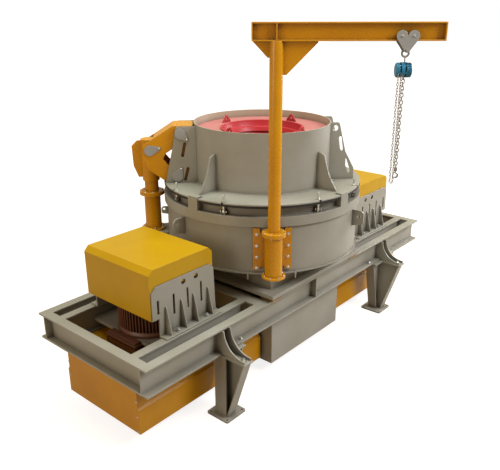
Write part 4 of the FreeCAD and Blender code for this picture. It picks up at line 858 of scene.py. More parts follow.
@dataclass
class SupportFrame:
    """The girder frame's four legs, with their bolts and foot welds.

    A leg is drawn in the quarter where x and y are positive, and mirrored into the others.
    """

    leg: tuple[float, float] = (1.642, 0.855)
    foot_half: float = 0.155
    foot: float = 0.020
    corner: float = 0.024
    anchor: float = 0.0125
    anchor_inset: float = 0.034
    plate: float = 0.015
    outer: float = 1.733
    inner_low: float = 1.577
    inner_high: float = 1.407
    column: tuple[float, float] = (0.775, 0.938)
    inner_front: float = 0.905
    web_at: float = 0.850
    web_setback: float = 0.002
    wing_at: float = 1.632
    tip: float = 1.190
    cap: tuple[float, float] = (1.609, 1.729)
    seat: float = 0.020
    seat_end: float = 1.742
    seat_reach: float = 1.207
    tongue: tuple[float, float] = (1.603, 1.737)
    knees_at: tuple[float, float] = (1.6165, 1.7215)
    knee_plate: float = 0.013
    knee_radius: float = 0.262
    knee_inset: float = 0.015
    knee_lip: float = 0.030
    knee_top: float = 1.064
    web_face: float = 0.803
    filler: float = 0.835
    flange: float = 0.020
    flange_edge: float = 0.889
    frame_low: float = 0.780
    seat_bolt: tuple[float, float, float] = (1.669, 1.134, 0.780)
    flange_bolt: tuple[float, float, float] = (1.376, 0.845, 0.800)
    foot_weld: float = 4.5 * MM

    def foot_plate(self) -> list[Shell]:
        """Make the foot plate of four quarters, each with a rounded corner and its anchor hole.

        Returns:
            The quarters.
        """
        reach, straight, spot = self.foot_half, self.foot_half - self.corner, self.foot_half - self.anchor_inset
        edge = np.linspace(0.0, straight, 6)
        none, full = np.zeros(6), np.full(6, reach)
        outline = np.concatenate([np.column_stack([edge, none]), [[reach, 0.0]], np.column_stack([full, edge])[1:],
                                  arc((straight, straight), self.corner, 0.0, 90.0, 7)[1:-1],
                                  np.column_stack([edge, full])[::-1], np.column_stack([none, edge])[:0:-1]])
        shape = holed_by_rays(outline, (spot, spot), self.anchor, 0.0, self.foot)
        return [mirror(shape, along, across).moved((*self.leg, 0.0)) for along in (-1, 1) for across in (-1, 1)]

    def column_plates(self) -> list[Shell]:
        """Make the column's two flanges and its web, the outrigger with its cap, and the seat.

        Returns:
            The plates.
        """
        low, high = self.foot, self.frame_low - self.seat
        near, far = self.column
        foot, head, back = self.inner_low, self.inner_high, self.web_setback
        return [
            box_shell((self.outer - self.plate, near, low), (self.outer, far, high)),
            in_xz([[foot, low], [foot + self.plate, low], [head + self.plate, high], [head, high]],
                  near, self.inner_front),
            in_xz([[foot + back, low], [self.outer - back, low], [self.outer - back, high], [head + back, high]],
                  self.web_at, self.web_at + self.plate),
            in_yz([[self.web_at, low], [far, low], [self.tip, high], [self.web_at, high]],
                  self.wing_at - self.plate / 2, self.wing_at + self.plate / 2),
            in_yz([[far, low], [far + self.plate, low], [self.tip, high], [self.tip - self.plate, high]], *self.cap),
            box_shell((head, near, high), (self.seat_end, far, self.frame_low)),
            box_shell((self.tongue[0], far, high), (self.tongue[1], self.seat_reach, self.frame_low)),
        ]

    def knees(self) -> list[Shell]:
        """Make the two knee plates with their quarter-round edge, and the filler between them.

        Returns:
            The plates.
        """
        floor, tip = self.frame_low, self.seat_reach - self.knee_inset
        shelf, lip = floor + self.flange, floor + self.knee_lip
        bend = arc((tip - self.plate, lip + self.knee_radius), self.knee_radius, 270.0, 181.8, 26)
        outline = np.concatenate([[[self.web_face, shelf], [self.flange_edge, shelf], [self.flange_edge, floor],
                                   [tip, floor], [tip, lip]], bend, [[self.web_face, self.knee_top]]])
        half = self.knee_plate / 2
        plates = [in_yz(outline, place - half, place + half) for place in self.knees_at]
        left, right = self.knees_at
        return plates + [box_shell((left + half, self.web_face, shelf), (right - half, self.filler, self.knee_top))]

    def legs(self) -> None:
        """Make each leg as one piece in the place of its solid."""
        shape = merge(self.foot_plate() + self.column_plates() + self.knees())
        for face, across in (("front", -1), ("back", 1)):
            for side, along in (("left", -1), ("right", 1)):
                name = "%s_%s_leg" % (face, side)
                piece(name + "_welded", mirror(shape, along, across), GREY, Body.MACHINE, [name])

    def bolts(self) -> None:
        """Make the seat bolts with their nuts below, and the girder flange's bolts."""
        seats = four_corners(np.array([self.seat_bolt]))
        flanges = four_corners(np.array([self.flange_bolt]))
        fasteners("frame_bolts", [LARGE.at(seats, UP), GIRDER_BOLT.at(flanges, UP),
                                  MIDDLE.at(seats - self.seat * UP, -UP)], Body.MACHINE)

    def welds(self) -> None:
        """Lay beads round the columns' feet."""
        foot = [[x, y, self.foot] for x, y in ((self.outer, self.column[0]), (self.outer, self.column[1]),
                                               (self.inner_low, self.column[1]), (self.inner_low, self.column[0]))]
        piece("frame_welds", beads(four_corners(loop_lines(foot)), self.foot_weld), GREY, Body.MACHINE)

    def build(self) -> None:
        """Make the legs and the frame's small pieces."""
        self.legs()
        self.bolts()
        self.welds()


@dataclass
class CrusherBody:
    """Bolts, welds and lugs of the base, the body and the rim."""

    base_corner: float = 0.775
    base_top: float = 1.171
    radius: float = 1.195
    low: float = 1.402
    rim_low: float = 1.965
    fork_radius: float = 1.176
    fork_height: float = 2.103
    fork_pin: tuple[float, float] = (0.007, 0.036)
    fork_heads: tuple[float, float] = (-0.038, 0.030)
    fork_head: tuple[float, float] = (0.012, 0.008)
    stop_spread: float = 13.0
    stop_inset: float = 0.012
    stop_half: float = 0.008
    lug_half: float = 0.010
    cap_half: float = 0.072
    cap_inner: float = 1.146
    cap_outer: float = 1.224
    cap_levels: tuple[float, float] = (2.2135, 2.229)
    seam_bearing: float = 200.0
    seam_ends: tuple[float, float] = (1.430, 1.955)

    def lug(self, bearing: float, reach: float, low: float, high: float) -> Shell:
        """Extrude a rounded lug with its round hole.

        Args:
            bearing: its direction in degrees.
            reach: how far it stands out of the body.
            low: its lowest level.
            high: its highest level.

        Returns:
            The lug's shell.
        """
        root, tip, bend, curl = self.radius - 4 * MM, self.radius + reach, 0.42 * reach, 0.30 * reach
        middle = 0.45 * low + 0.55 * high
        outline = np.concatenate([[[root, low], [root, middle], [root, high - 4 * MM]],
                                  arc((tip - bend, high - bend), bend, 90.0, 0.0, 9),
                                  arc((tip - curl, low + bend), curl, 0.0, -60.0, 7)])
        hole = (self.radius + 0.60 * reach, middle + 12 * MM)
        return holed_by_rays(outline, hole, min(22 * MM, 0.2 * reach), -self.lug_half, self.lug_half,
                             turn_matrix(bearing) @ SIDE_ON)

    def lugs(self) -> Shell:
        """Make the two large lugs, and the small one by the lifter."""
        return merge([self.lug(171.0, 0.165, 1.735, 1.935), self.lug(-75.0, 0.140, 1.735, 1.935),
                      self.lug(143.0, 0.080, 1.800, 1.900)])

    def block_caps(self) -> Shell:
        """Make the rim blocks' tops, which stand a little over the cover.

        Returns:
            The four tops.
        """
        lean = math.degrees(math.asin(self.cap_half / self.cap_outer))
        outline = np.concatenate([[[self.cap_inner, self.cap_half], [self.cap_inner, -self.cap_half]],
                                  arc((0.0, 0.0), self.cap_outer, -lean, lean, 9)])
        return all_round(prism(outline, *self.cap_levels))

    def fork_pins(self) -> Shell:
        """Lay a headed pin across each clamp's fork.

        Returns:
            The eight pins.
        """
        radius, half = self.fork_pin
        head, length = self.fork_head
        parts = [lathe([[radius, -half], [radius, half]], 12)]
        parts += [lathe([[head, low], [head, low + length]], 12) for low in self.fork_heads]
        bearings = paired_bearings(CLAMP_SPREAD)
        places = on_circle(self.fork_radius, np.radians(bearings), self.fork_height)
        return stamp(merge(parts), places, turns(bearings) @ LYING)

    def stops(self) -> Shell:
        """Make the small lugs under the body's bottom flange, each with an upright screw.

        Returns:
            The eight lugs.
        """
        outline = np.array([[0.0, -0.060], [0.030, -0.030], [0.030, 0.0], [0.0, 0.0]])
        block = prism(outline, -self.stop_half, self.stop_half, SIDE_ON)
        screw = lathe([[0.009, -0.070], [0.009, 0.030]], 10).moved((0.018, 0.0, 0.0))
        bearings = paired_bearings(self.stop_spread)
        places = on_circle(self.radius - self.stop_inset, np.radians(bearings), self.low)
        return stamp(merge([block, screw]), places, turns(bearings))

    def welds(self) -> Shell:
        """Lay the welds under the rim and over the bottom flange, and the shell's upright seam.

        Returns:
            The beads.
        """
        rings = [round_weld(self.radius, height, 3.5 * MM, 400)
                 for height in (self.rim_low - 3 * MM, self.low + 23 * MM)]
        seam = [on_circle(self.radius, np.radians([self.seam_bearing]), height)[0] for height in self.seam_ends]
        return merge(rings + [beads(np.array([seam]), 2.5 * MM)])

    def build(self) -> None:
        """Make the body's small pieces."""
        corners = four_corners(np.array([[self.base_corner, self.base_corner, self.base_top]]))
        piece("rounded_body_lugs", self.lugs(), GREY, Body.MACHINE, ["body_lugs"])
        piece("rim_block_caps", self.block_caps(), GREY, Body.MACHINE)
        fasteners("body_bolts", [MIDDLE.at(corners, UP), self.fork_pins()], Body.MACHINE)
        piece("body_stops", self.stops(), GREY, Body.MACHINE)
        piece("body_welds", self.welds(), GREY, Body.MACHINE)


@dataclass
class Lid:
    """The cover's clamps and seal, the hopper's welds, and the feed funnel with its eyes."""

    clamp_radius: float = 1.176
    cover_top: float = 2.214
    rod: float = 13 * MM
    rod_low: float = 2.096
    rod_high: float = 2.300
    hopper_radius: float = 0.836
    hopper_top: float = 2.912
    seam_bearing: float = 232.0
    gusset_half: float = 0.0095
    gusset_top: float = 2.635
    gusset_reach: float = 1.098
    feed_top: float = 2.820
    feed_opening: float = 0.505
    feed_wall: float = 14 * MM
    lip: float = 14 * MM
    throat: float = 0.300
    floor: float = 2.260
    floor_plate: float = 0.012
    drain: float = 0.020
    ring_drops: tuple[float, float] = (0.062, 0.118)
    ring_reach: float = 0.030
    eye_radius: float = 0.590
    eye_plate: float = 14 * MM
    eye_foot: float = 0.074
    eye_head: float = 0.024
    eye_height: float = 0.090
    eye_hole: float = 0.016
    eye_hole_height: float = 0.046
    liner_clamps: tuple[float, float, float] = (158.0, 219.0, 280.0)
    leaf: float = 8 * MM
    leaf_sides: tuple[float, float] = (-0.034, 0.026)
    seal: tuple[float, float] = (1.150, 1.2192)
    seal_low: float = 2.174
    seal_high: float = 2.199
    window: tuple[float, float] = (4.3, 85.7)

    def seals(self) -> None:
        """Sweep the rubber seal under the cover's edge, over each window of the rim."""
        inner, outer = self.seal
        corners = np.array([[inner, self.seal_low], [inner, self.seal_high], [outer, self.seal_high],
                            [outer, self.seal_low]])
        angles = np.radians(np.linspace(*self.window, 60))
        loops = np.stack([on_circle(radius, angles, height) for radius, height in corners], axis=1)
        piece("cover_seal", all_round(skin(loops)), RUBBER, Body.LID)

    def clamp(self) -> Shell:
        """Turn the swing bolt's rod, its eye, its washer and its hexagon nut.

        Returns:
            The bolt on the lid's axis.
        """
        low, high, chamfer = self.rod_low, self.rod_high, 3 * MM
        rod = lathe([[self.rod, low], [self.rod, high - chamfer], [self.rod - chamfer, high]], 16)
        eye = lathe([[0.016, low - 0.016], [0.019, low - 0.008], [0.019, low + 0.014], [0.013, low + 0.026]], 16)
        return merge([rod, eye, CLAMP_NUT.shape().moved((0, 0, self.cover_top))])

    def clamps(self) -> None:
        """Set a swing bolt at each clamp's bearing."""
        bearings = paired_bearings(CLAMP_SPREAD)
        places = on_circle(self.clamp_radius, np.radians(bearings), 0.0)
        fasteners("cover_clamp_bolts", [stamp(self.clamp(), places, turns(bearings))], Body.LID, ["clamp_bolts"])

    def welds(self) -> None:
        """Lay the hopper's foot weld, its seam and the gussets' beads."""
        foot = round_weld(self.hopper_radius + 2 * MM, self.cover_top + 2 * MM, 5.0 * MM, 320)
        seam = [on_circle(self.hopper_radius, np.radians([self.seam_bearing]), height)[0]
                for height in (self.cover_top + 0.01, self.hopper_top - 0.004)]
        lines = [seam]
        for axes in turns(QUARTERS):
            for side in (-self.gusset_half, self.gusset_half):
                root = axes @ np.array([self.hopper_radius, side, self.cover_top])
                lines.append([root, axes @ np.array([self.hopper_radius, side, self.gusset_top])])
                lines.append([root, axes @ np.array([self.gusset_reach, side, self.cover_top])])
        piece("hopper_welds", merge([foot, beads(np.array(lines), 3.2 * MM)]), GREY, Body.LID)

    def eye(self) -> Shell:
        """Extrude a lifting eye: a foot that narrows to a round head with a round hole.

        Returns:
            The eye on the lid's axis, at level zero.
        """
        foot, shoulder, sunk = self.eye_foot, 12 * MM, -2 * MM
        head = arc((0.0, self.eye_height - self.eye_head), self.eye_head, 25.0, 155.0, 19)
        base = np.column_stack([np.linspace(foot, -foot, 9), np.full(9, sunk)])[1:]
        outline = np.concatenate([[[foot, shoulder], [foot, sunk]], base, [[-foot, shoulder]], head[::-1]])
        return holed_by_rays(outline, (0.0, self.eye_hole_height), self.eye_hole, -self.eye_plate / 2,
                             self.eye_plate / 2, END_ON)

    def wall(self, height: float) -> float:
        """Return the radius of the funnel's inner wall at a height."""
        inner, depth = self.feed_opening - self.feed_wall, self.feed_top - self.floor - self.floor_plate
        return inner - (inner - self.throat) / depth * (self.feed_top - height)

    def bowl(self) -> Shell:
        """Turn the funnel: up its outside, over the lip, and down its wall with the wear ring's step.

        Returns:
            The funnel's shell.
        """
        top, opening, reach = self.feed_top, self.feed_opening, self.ring_reach
        inner, rise = opening - self.feed_wall, top + self.lip
        high, low = (top - drop for drop in self.ring_drops)
        wide, narrow = self.wall(high), self.wall(low)
        outside = [[self.drain, self.floor], [self.throat + self.feed_wall, self.floor], [opening, top]]
        lip = [[opening + 0.006, top], [opening + 0.008, top + 0.003], [opening + 0.008, rise - 0.003],
               [opening + 0.005, rise], [inner + 0.003, rise], [inner, rise - 0.003], [inner, top]]
        step = [[wide, high], [wide - reach, high - 0.006], [wide - reach - 0.004, high - 0.020],
                [narrow - reach, low], [narrow, low - 0.006]]
        bottom = self.floor + self.floor_plate
        return lathe(outside + lip + step + [[self.throat, bottom], [self.drain, bottom]], 128)

    def liner_clamp(self) -> Shell:
        """Make one of the wear ring's clamps: two leaf-shaped plates and the bar between them.

        Returns:
            The clamp at bearing zero.
        """
        outline = np.array([[0.0, 0.0], [0.070, 0.010], [0.082, 0.055], [0.046, 0.080], [0.0, 0.066]])
        inward = np.array([[-1.0, 0.0, 0.0], [0.0, 0.0, 1.0], [0.0, 1.0, 0.0]])
        top = self.feed_top
        place = (self.wall(top - 0.08) + 0.004, 0.0, top - 0.088)
        leaves = [prism(outline, side, side + self.leaf, inward).moved(place) for side in self.leaf_sides]
        bar = lathe([[0.010, -0.048], [0.010, 0.048]], 12)
        return merge(leaves + [bar.placed(LYING, (self.wall(top - 0.04) - 0.045, 0.0, top - 0.045))])

    def funnel(self) -> None:
        """Make the funnel with its lifting eyes and the clamps of its wear ring."""
        eyes = all_round(self.eye().moved((self.eye_radius, 0.0, self.feed_top)))
        clamp = self.liner_clamp()
        clamps = [clamp.placed(turn_matrix(bearing)) for bearing in self.liner_clamps]
        piece("funnel_with_eyes", merge([self.bowl(), eyes] + clamps), RED, Body.LID, ["feed_funnel"], crease=30.0)

    def build(self) -> None:
        """Make the lid's small pieces."""
        self.clamps()
        self.seals()
        self.welds()
        self.funnel()


@dataclass
class LidLifter:
    """The lifter's bolts, pins, keepers and welds, and the arm's ends.

    They are drawn with x outwards along the lifter's bearing, y towards the fork's near
    side and z up.
    """

    bearing: float = 135.0
    offset: float = 1.380
    joint: float = 2.040
    foot: float = 1.586
    foot_plate: float = 0.042
    flange_half: float = 0.011
    bolt_circle: float = 0.128
    sleeve: float = 0.101
    mast: float = 0.085
    head_pin: tuple[float, float] = (1.365, 2.600)
    high_pin: tuple[float, float] = (0.995, 2.805)
    low_pin: tuple[float, float] = (1.043, 2.290)
    head_lean: tuple[float, float] = (-0.113, 0.028)
    high_lean: tuple[float, float] = (-0.078, -0.066)
    low_lean: tuple[float, float] = (-0.046, 0.099)
    pin: float = 0.034
    keeper: float = 0.064
    keeper_tip: float = 0.019
    keeper_plate: float = 0.012
    arm_face: float = 0.182
    lug_face: float = 0.225
    arm_plate: float = 0.020
    arm_top: float = 2.891
    arm_inner: float = 0.866
    arm_joint: float = 1.045
    arm_low: float = 2.236
    arm_gap: float = 0.0005
    deck: float = 0.016
    deck_ends: tuple[float, float] = (0.846, 0.945)

    def pins(self) -> None:
        """Make the three pins, their drop-shaped keepers on the fork's near side, and the keepers' screws.

        A keeper is the outline of discs that shrink from the pin to the tip.
        """
        turned, share = turn_matrix(self.bearing), np.linspace(0.0, 1.0, 12)
        bars, screws = [], []
        for (x, z), (lean, rise), face in ((self.head_pin, self.head_lean, self.arm_face),
                                           (self.high_pin, self.high_lean, self.lug_face),
                                           (self.low_pin, self.low_lean, self.lug_face)):
            outer = face + self.keeper_plate
            discs = np.column_stack([lean * share, rise * share,
                                     self.keeper + (self.keeper_tip - self.keeper) * share])
            drop = prism(disc_union(discs, 72), -outer, -face, SIDE_ON)
            bar = lathe([[self.pin - 2 * MM, -face - 6 * MM], [self.pin, -face - 4 * MM],
                         [self.pin, face + 2 * MM]], 40)
            bars.append(merge([drop, bar.placed(LYING)]).moved((x, 0.0, z)))
            screws.append(SMALL.at(np.array([[x + lean, outer, z + rise]]), (0.0, 1.0, 0.0)))
        piece("keeper_pins", merge(bars).placed(turned), PIN_GREY, Body.LID, ["lifter_pins"], bevel_mm=2.0)
        fasteners("keeper_screws", [merge(screws).placed(turned)], Body.LID)

    def arm_ends(self) -> None:
        """Carry the arm's two plates and its deck on behind the slotted lugs."""
        top = self.arm_top - 2 * self.arm_gap
        outline = [[self.arm_inner, self.arm_low], [self.arm_joint, self.arm_low], [self.arm_joint, top],
                   [self.arm_inner, top]]
        near, far = self.arm_face - self.arm_plate + self.arm_gap, self.arm_face - self.arm_gap
        cheeks = [in_xz(outline, near, far), in_xz(outline, -far, -near)]
        start, end = self.deck_ends
        deck = box_shell((start, -near, self.arm_top - self.deck), (end, near, self.arm_top - self.arm_gap))
        piece("arm_ends", merge(cheeks + [deck]).placed(turn_matrix(self.bearing)), AMBER, Body.LID)

    def build(self) -> None:
        """Make the flange bolts, the pins with their keepers, the arm's ends and the post's welds."""
        centre = turn_matrix(self.bearing) @ np.array([self.offset, 0.0, 0.0])
        above, below = self.joint + self.flange_half, self.joint - self.flange_half
        fasteners("lifter_flange_bolts", [MIDDLE.at(ring_places(self.bolt_circle, 8, height, centre, 10.0), way * UP)
                                          for height, way in ((above, 1.0), (below, -1.0), (self.foot, 1.0),
                                                              (self.foot - self.foot_plate, -1.0))], Body.MACHINE)
        self.pins()
        self.arm_ends()
        rings = [round_weld(radius, height, 4.5 * MM, 64, centre)
                 for radius, height in ((self.sleeve, below), (self.sleeve, self.foot), (self.mast, above))]
        piece("lifter_welds", merge(rings), AMBER, Body.MACHINE)


@dataclass
class JibCrane:
    """The jib's bolts and welds, and its trolley, hoist, chains and hook.

    Local points have x along the beam, y across it and z up, with the post as origin.
    """

    bearing: float = 225.0
    offset: float = 1.348
    heading: float = -49.6
    strip_face: float = 1.209
    strip_centre: float = 0.176
    strip_low: float = 1.463
    strip_high: float = 1.953
    sleeve_low: float = 1.436
    sleeve_top: float = 1.938
    ring: float = 0.020
    bolt_circle: float = 0.113
    bolt_phase: float = 22.5
    beam_low: float = 3.904
    beam_ends: tuple[float, float] = (-0.228, 1.596)
    web_half: float = 0.0085
    post: float = 0.067
    knee: tuple[float, float] = (0.396, 3.592)
    tail: tuple[float, float] = (-0.230, 3.752)
    collar_weld: tuple[float, float] = (0.069, 1.9595)
    axle: float = 3.950
    axle_half: float = 0.056
    wheel: float = 0.034
    cheek: float = 0.063
    cheek_half: float = 0.005
    shoulder: float = 0.0535
    nose: float = 0.026
    nose_drop: float = 0.128
    heart_drop: float = 0.050
    bow: tuple[float, float, float] = (0.033, 3.790, 0.011)
    place: float = 1.240
    hub: float = 1.232
    hub_height: float = 3.633
    hoist_low: float = 3.560
    hook_top: float = 2.658
    hook_bend: float = 0.025
    hand_low: float = 2.507
    hand_top: float = 3.600
    hand_across: float = -0.058
    hand_inset: float = 0.050
    hand_half: float = 0.0145

    def centre(self) -> Array:
        """Return the post's place."""
        return turn_matrix(self.bearing) @ np.array([self.offset, 0.0, 0.0])

    def to_machine(self, shell: Shell) -> Shell:
        """Turn a shell from the beam's frame into the machine's frame."""
        return shell.placed(turn_matrix(self.heading), self.centre())

    def bolts(self) -> None:
        """Make the mounting strips' bolts and those of the ring flanges."""
        heights = self.strip_high - np.array([0.148, 0.42, 0.69, 0.95]) * (self.strip_high - self.strip_low)
        grid = np.array([[self.strip_face, side * self.strip_centre, height] for side in (-1, 1) for height in heights])
        matrix, ring = turn_matrix(self.bearing), self.ring
        sets = [STRIP_BOLT.at(grid @ matrix.T, matrix[:, 0])]
        sets += [SMALL.at(self.bolt_ring(height), way * UP)
                 for height, way in ((self.sleeve_top - ring, -1.0), (self.sleeve_low + ring, 1.0),
                                     (self.sleeve_low, -1.0))]
        fasteners("jib_bracket_bolts", sets, Body.MACHINE)
        crown = COLLAR_BOLT.at(self.bolt_ring(self.sleeve_top + 0.3 * MM + ring), UP)
        fasteners("jib_collar_bolts", [crown], Body.JIB)

    def bolt_ring(self, height: float) -> Array:
        """Give the places of a ring flange's eight bolts at a height."""
        return ring_places(self.bolt_circle, 8, height, self.centre(), self.bolt_phase)

    def welds(self) -> None:
        """Lay the beads under the beam, down the knee plates and round the post."""
        (knee, knee_low), (tail, tail_low), low, post, lines = self.knee, self.tail, self.beam_low, self.post, []
        for side in (-self.web_half, self.web_half):
            within = side - math.copysign(2 * MM, side)
            lines += [[[post, side, low], [knee, side, low]], [[post, side, knee_low], [post, side, low]],
                      [[-post, side, tail_low], [-post, side, low]], [[tail, side, low], [-post, side, low]]]
            lines += [[[self.beam_ends[0], within, height], [self.beam_ends[1], within, height]]
                      for height in (low + 0.012, low + 0.161)]
        radius, height = self.collar_weld
        collar = round_weld(radius, height, 3.5 * MM, 48, self.centre(), swell=0.0)
        places = np.array(lines) @ turn_matrix(self.heading).T + self.centre()
        piece("jib_welds", merge([beads(places, 3.0 * MM), collar]), AMBER, Body.JIB)

    def trolley(self) -> None:
        """Make the heart plates, the flanged wheels, the cross pin, the eye and the top link.

        A heart is the outline of discs that shrink from each axle down to the nose.
        """
        discs = [[side * self.axle_half * (1.0 - part), self.heart_drop - self.nose_drop * part,
                  self.shoulder + (self.nose - self.shoulder) * part]
                 for side in (-1, 1) for part in np.linspace(0.0, 1.0, 7)]
        plate = prism(disc_union(discs, 96), -self.cheek_half, self.cheek_half, SIDE_ON)
        rim = self.wheel + 7 * MM
        wheel = lathe([[0.020, 0.018], [self.wheel - 3 * MM, 0.020], [self.wheel, 0.024], [self.wheel, 0.046],
                       [rim, 0.051], [rim, 0.057], [0.014, 0.057], [0.012, 0.073], [0.009, 0.075]], 32)
        parts = []
        for side in (-1, 1):
            parts.append(plate.moved((0.0, side * self.cheek, self.axle - self.heart_drop)))
            facing = np.array([[1.0, 0.0, 0.0], [0.0, 0.0, side], [0.0, -side, 0.0]])
            parts += [wheel.placed(facing, (way * self.axle_half, 0.0, self.axle)) for way in (-1, 1)]
        pin = lathe([[0.011, -0.074], [0.011, 0.074]], 16).placed(LYING, (0.0, 0.0, self.axle - self.nose_drop))
        radius, height, wire = self.bow
        bow = tube(upright_oval(radius, radius, height, 40, 0), wire, 12, closed=True)
        link = tube(upright_oval(0.011, 0.030, 3.727, 28, 1), 4.2 * MM, 8, closed=True)
        shell = self.to_machine(merge(parts + [pin, bow, link]).moved((self.place, 0.0, 0.0)))
        piece("beam_trolley", shell, PIN_GREY, Body.TROLLEY, ["trolley"])

    def ribs(self, start: float, end: float, count: int, radius: float, depth: float) -> list:
        """Give the profile of a drum's ribs, whose radius falls and rises as a cosine.

        Args:
            start: where the first rib begins.
            end: where the last one ends.
            count: number of ribs.
            radius: the drum's radius.
            depth: depth of the grooves.

        Returns:
            Rows of radius and place.
        """
        steps = 4 * count + 1
        wave = radius - depth * 0.5 * (1.0 - np.cos(np.arange(steps) * math.pi / 2.0))
        return np.column_stack([wave, np.linspace(start, end, steps)]).tolist()

    def hoist(self) -> None:
        """Turn the hoist's three drums about the beam's direction, with the chain wheels in the slots between."""
        left = [[0.020, -0.078], [0.052, -0.078], [0.064, -0.074], [0.0705, -0.064], [0.0715, -0.058],
                [0.0715, -0.046], [0.069, -0.043], [0.046, -0.043]]
        middle = [[0.046, -0.027], [0.069, -0.027], [0.0715, -0.024], [0.0715, 0.003], [0.069, 0.006], [0.046, 0.006]]
        right = [[0.046, 0.020], [0.068, 0.020]] + self.ribs(0.024, 0.064, 4, 0.0715, 0.005)
        right += [[0.0705, 0.066], [0.064, 0.074], [0.050, 0.078], [0.020, 0.078]]
        parts = [lathe(part, 48).placed(END_ON) for part in (left, middle, right)]
        for angle in np.radians(60.0 * np.arange(6) + 20.0):
            across, rise = 0.066 * math.cos(angle), 0.066 * math.sin(angle)
            parts.append(tube(np.linspace([-0.046, across, rise], [0.024, across, rise], 4), 5 * MM, 8))
        parts.append(box_shell((-0.030, -0.018, 0.066), (0.030, 0.018, 0.0735)))
        offset = (self.hub, 0.0, self.hub_height)
        piece("hoist_housing", self.to_machine(merge(parts).moved(offset)), BLUE, Body.TROLLEY, ["hoist"])
        wheels = [lathe([[0.048, -0.046], [0.048, 0.022]], 32)]
        wheels += [lathe([[0.050, low], [0.062, low + 2 * MM], [0.056, low + 5 * MM], [0.062, low + 8 * MM],
                          [0.050, low + 10 * MM]], 10) for low in (-0.040, 0.008)]
        piece("hoist_chain_wheels", self.to_machine(merge(wheels).placed(END_ON, offset)), WHEEL_SLOT_SHADE, Body.TROLLEY)

    def link(self, pitch: float, width: float, rod: float) -> Shell:
        """Carry a circle round a stadium: two half circles joined by two straights.

        Args:
            pitch: distance between link centres.
            width: outer width of the link.
            rod: radius of its wire.

        Returns:
            The link about its own middle, with its length upright.
        """
        half = width / 2 - rod
        straight = (pitch - width) / 2 + 2 * rod
        bend = np.linspace(0.0, math.pi, 7)
        upper = np.column_stack([half * np.cos(bend), np.zeros(7), straight + half * np.sin(bend)])
        return tube(np.concatenate([upper, upper * np.array([-1.0, 1.0, -1.0])]), rod, 7, closed=True)

    def chain(self, path: Array, pitch: float, width: float, rod: float) -> Shell:
        """Place links along a path, each a quarter turn from the last.

        Args:
            path: dense rows of points down the chain.
            pitch: distance between link centres.
            width: outer width of a link.
            rod: radius of the link's wire.

        Returns:
            All links as one shell.
        """
        steps = np.linalg.norm(np.diff(path, axis=0), axis=1)
        run = np.concatenate([[0.0], np.cumsum(steps)])
        count = int(run[-1] // pitch)
        spots = (np.arange(count) + 0.5) * run[-1] / count
        reach = 4 * MM
        places, ahead, behind = (np.stack([np.interp(spots + shift, run, path[:, axis]) for axis in range(3)], axis=1)
                                 for shift in (0.0, reach, -reach))
        spins = np.where(np.arange(count) % 2 == 0, 25.0, 115.0)
        return stamp(self.link(pitch, width, rod), places, bases(ahead - behind) @ turns(spins))

    def hook(self) -> Shell:
        """Carry a tapering circle along the hook's shank and bowl, and add its nut and latch.

        Returns:
            The hook in the beam's frame.
        """
        bend, sweep, place = self.hook_bend, 40, self.place
        centre = self.hook_top - 0.076
        bowl = np.insert(arc((place, centre), bend, 95.0, -195.0, sweep), 1, 0.0, axis=1)
        path = np.concatenate([plumb_line(place, 0.0, self.hook_top - 0.010, centre + 0.034, 6), bowl])
        taper = np.interp(np.arange(sweep), [0, 22, sweep - 1], [0.0085, 0.0105, 0.004])
        barrel = lathe([[0.012, -0.020], [0.017, -0.016], [0.019, 0.0], [0.017, 0.016], [0.012, 0.020]], 16)
        latch = np.linspace([place - 0.020, 0.0, centre + 0.018], [place - 0.004, 0.0, centre + 0.034], 3)
        return merge([tube(path, np.concatenate([np.full(6, 0.0085), taper]), 10),
                      barrel.moved((place, 0.0, self.hook_top - 0.014)), tube(latch, 3.2 * MM, 6)])

    def tackle(self) -> None:
        """Make the load chain with its hook, and the hand chain's loop."""
        strand = plumb_line(self.place, 0.0, self.hoist_low + 0.020, self.hook_top - 0.002, 90)
        load = merge([self.chain(strand, 34 * MM, 35 * MM, 5.0 * MM), self.hook()])
        piece("load_chain_links", self.to_machine(load), CHAIN_STEEL, Body.TROLLEY, ["load_chain"])
        half, middle = self.hand_half, self.place - self.hand_inset
        level = self.hand_low + 12 * MM + half
        left = plumb_line(middle - half, self.hand_across, self.hand_top, level, 90)
        turn = np.insert(arc((middle, level), half, 180.0, 360.0, 13), 1, self.hand_across, axis=1)
        right = plumb_line(middle + half, self.hand_across, level, self.hand_top, 90)
        hand = self.chain(np.concatenate([left, turn[1:-1], right]), 27 * MM, 23 * MM, 3.4 * MM)
        piece("hand_chain_links", self.to_machine(hand), CHAIN_STEEL, Body.TROLLEY, ["hand_chain"])

    def build(self) -> None:
        """Make all of the jib's small pieces."""
        self.bolts()
        self.welds()
        self.trolley()
        self.hoist()
        self.tackle()


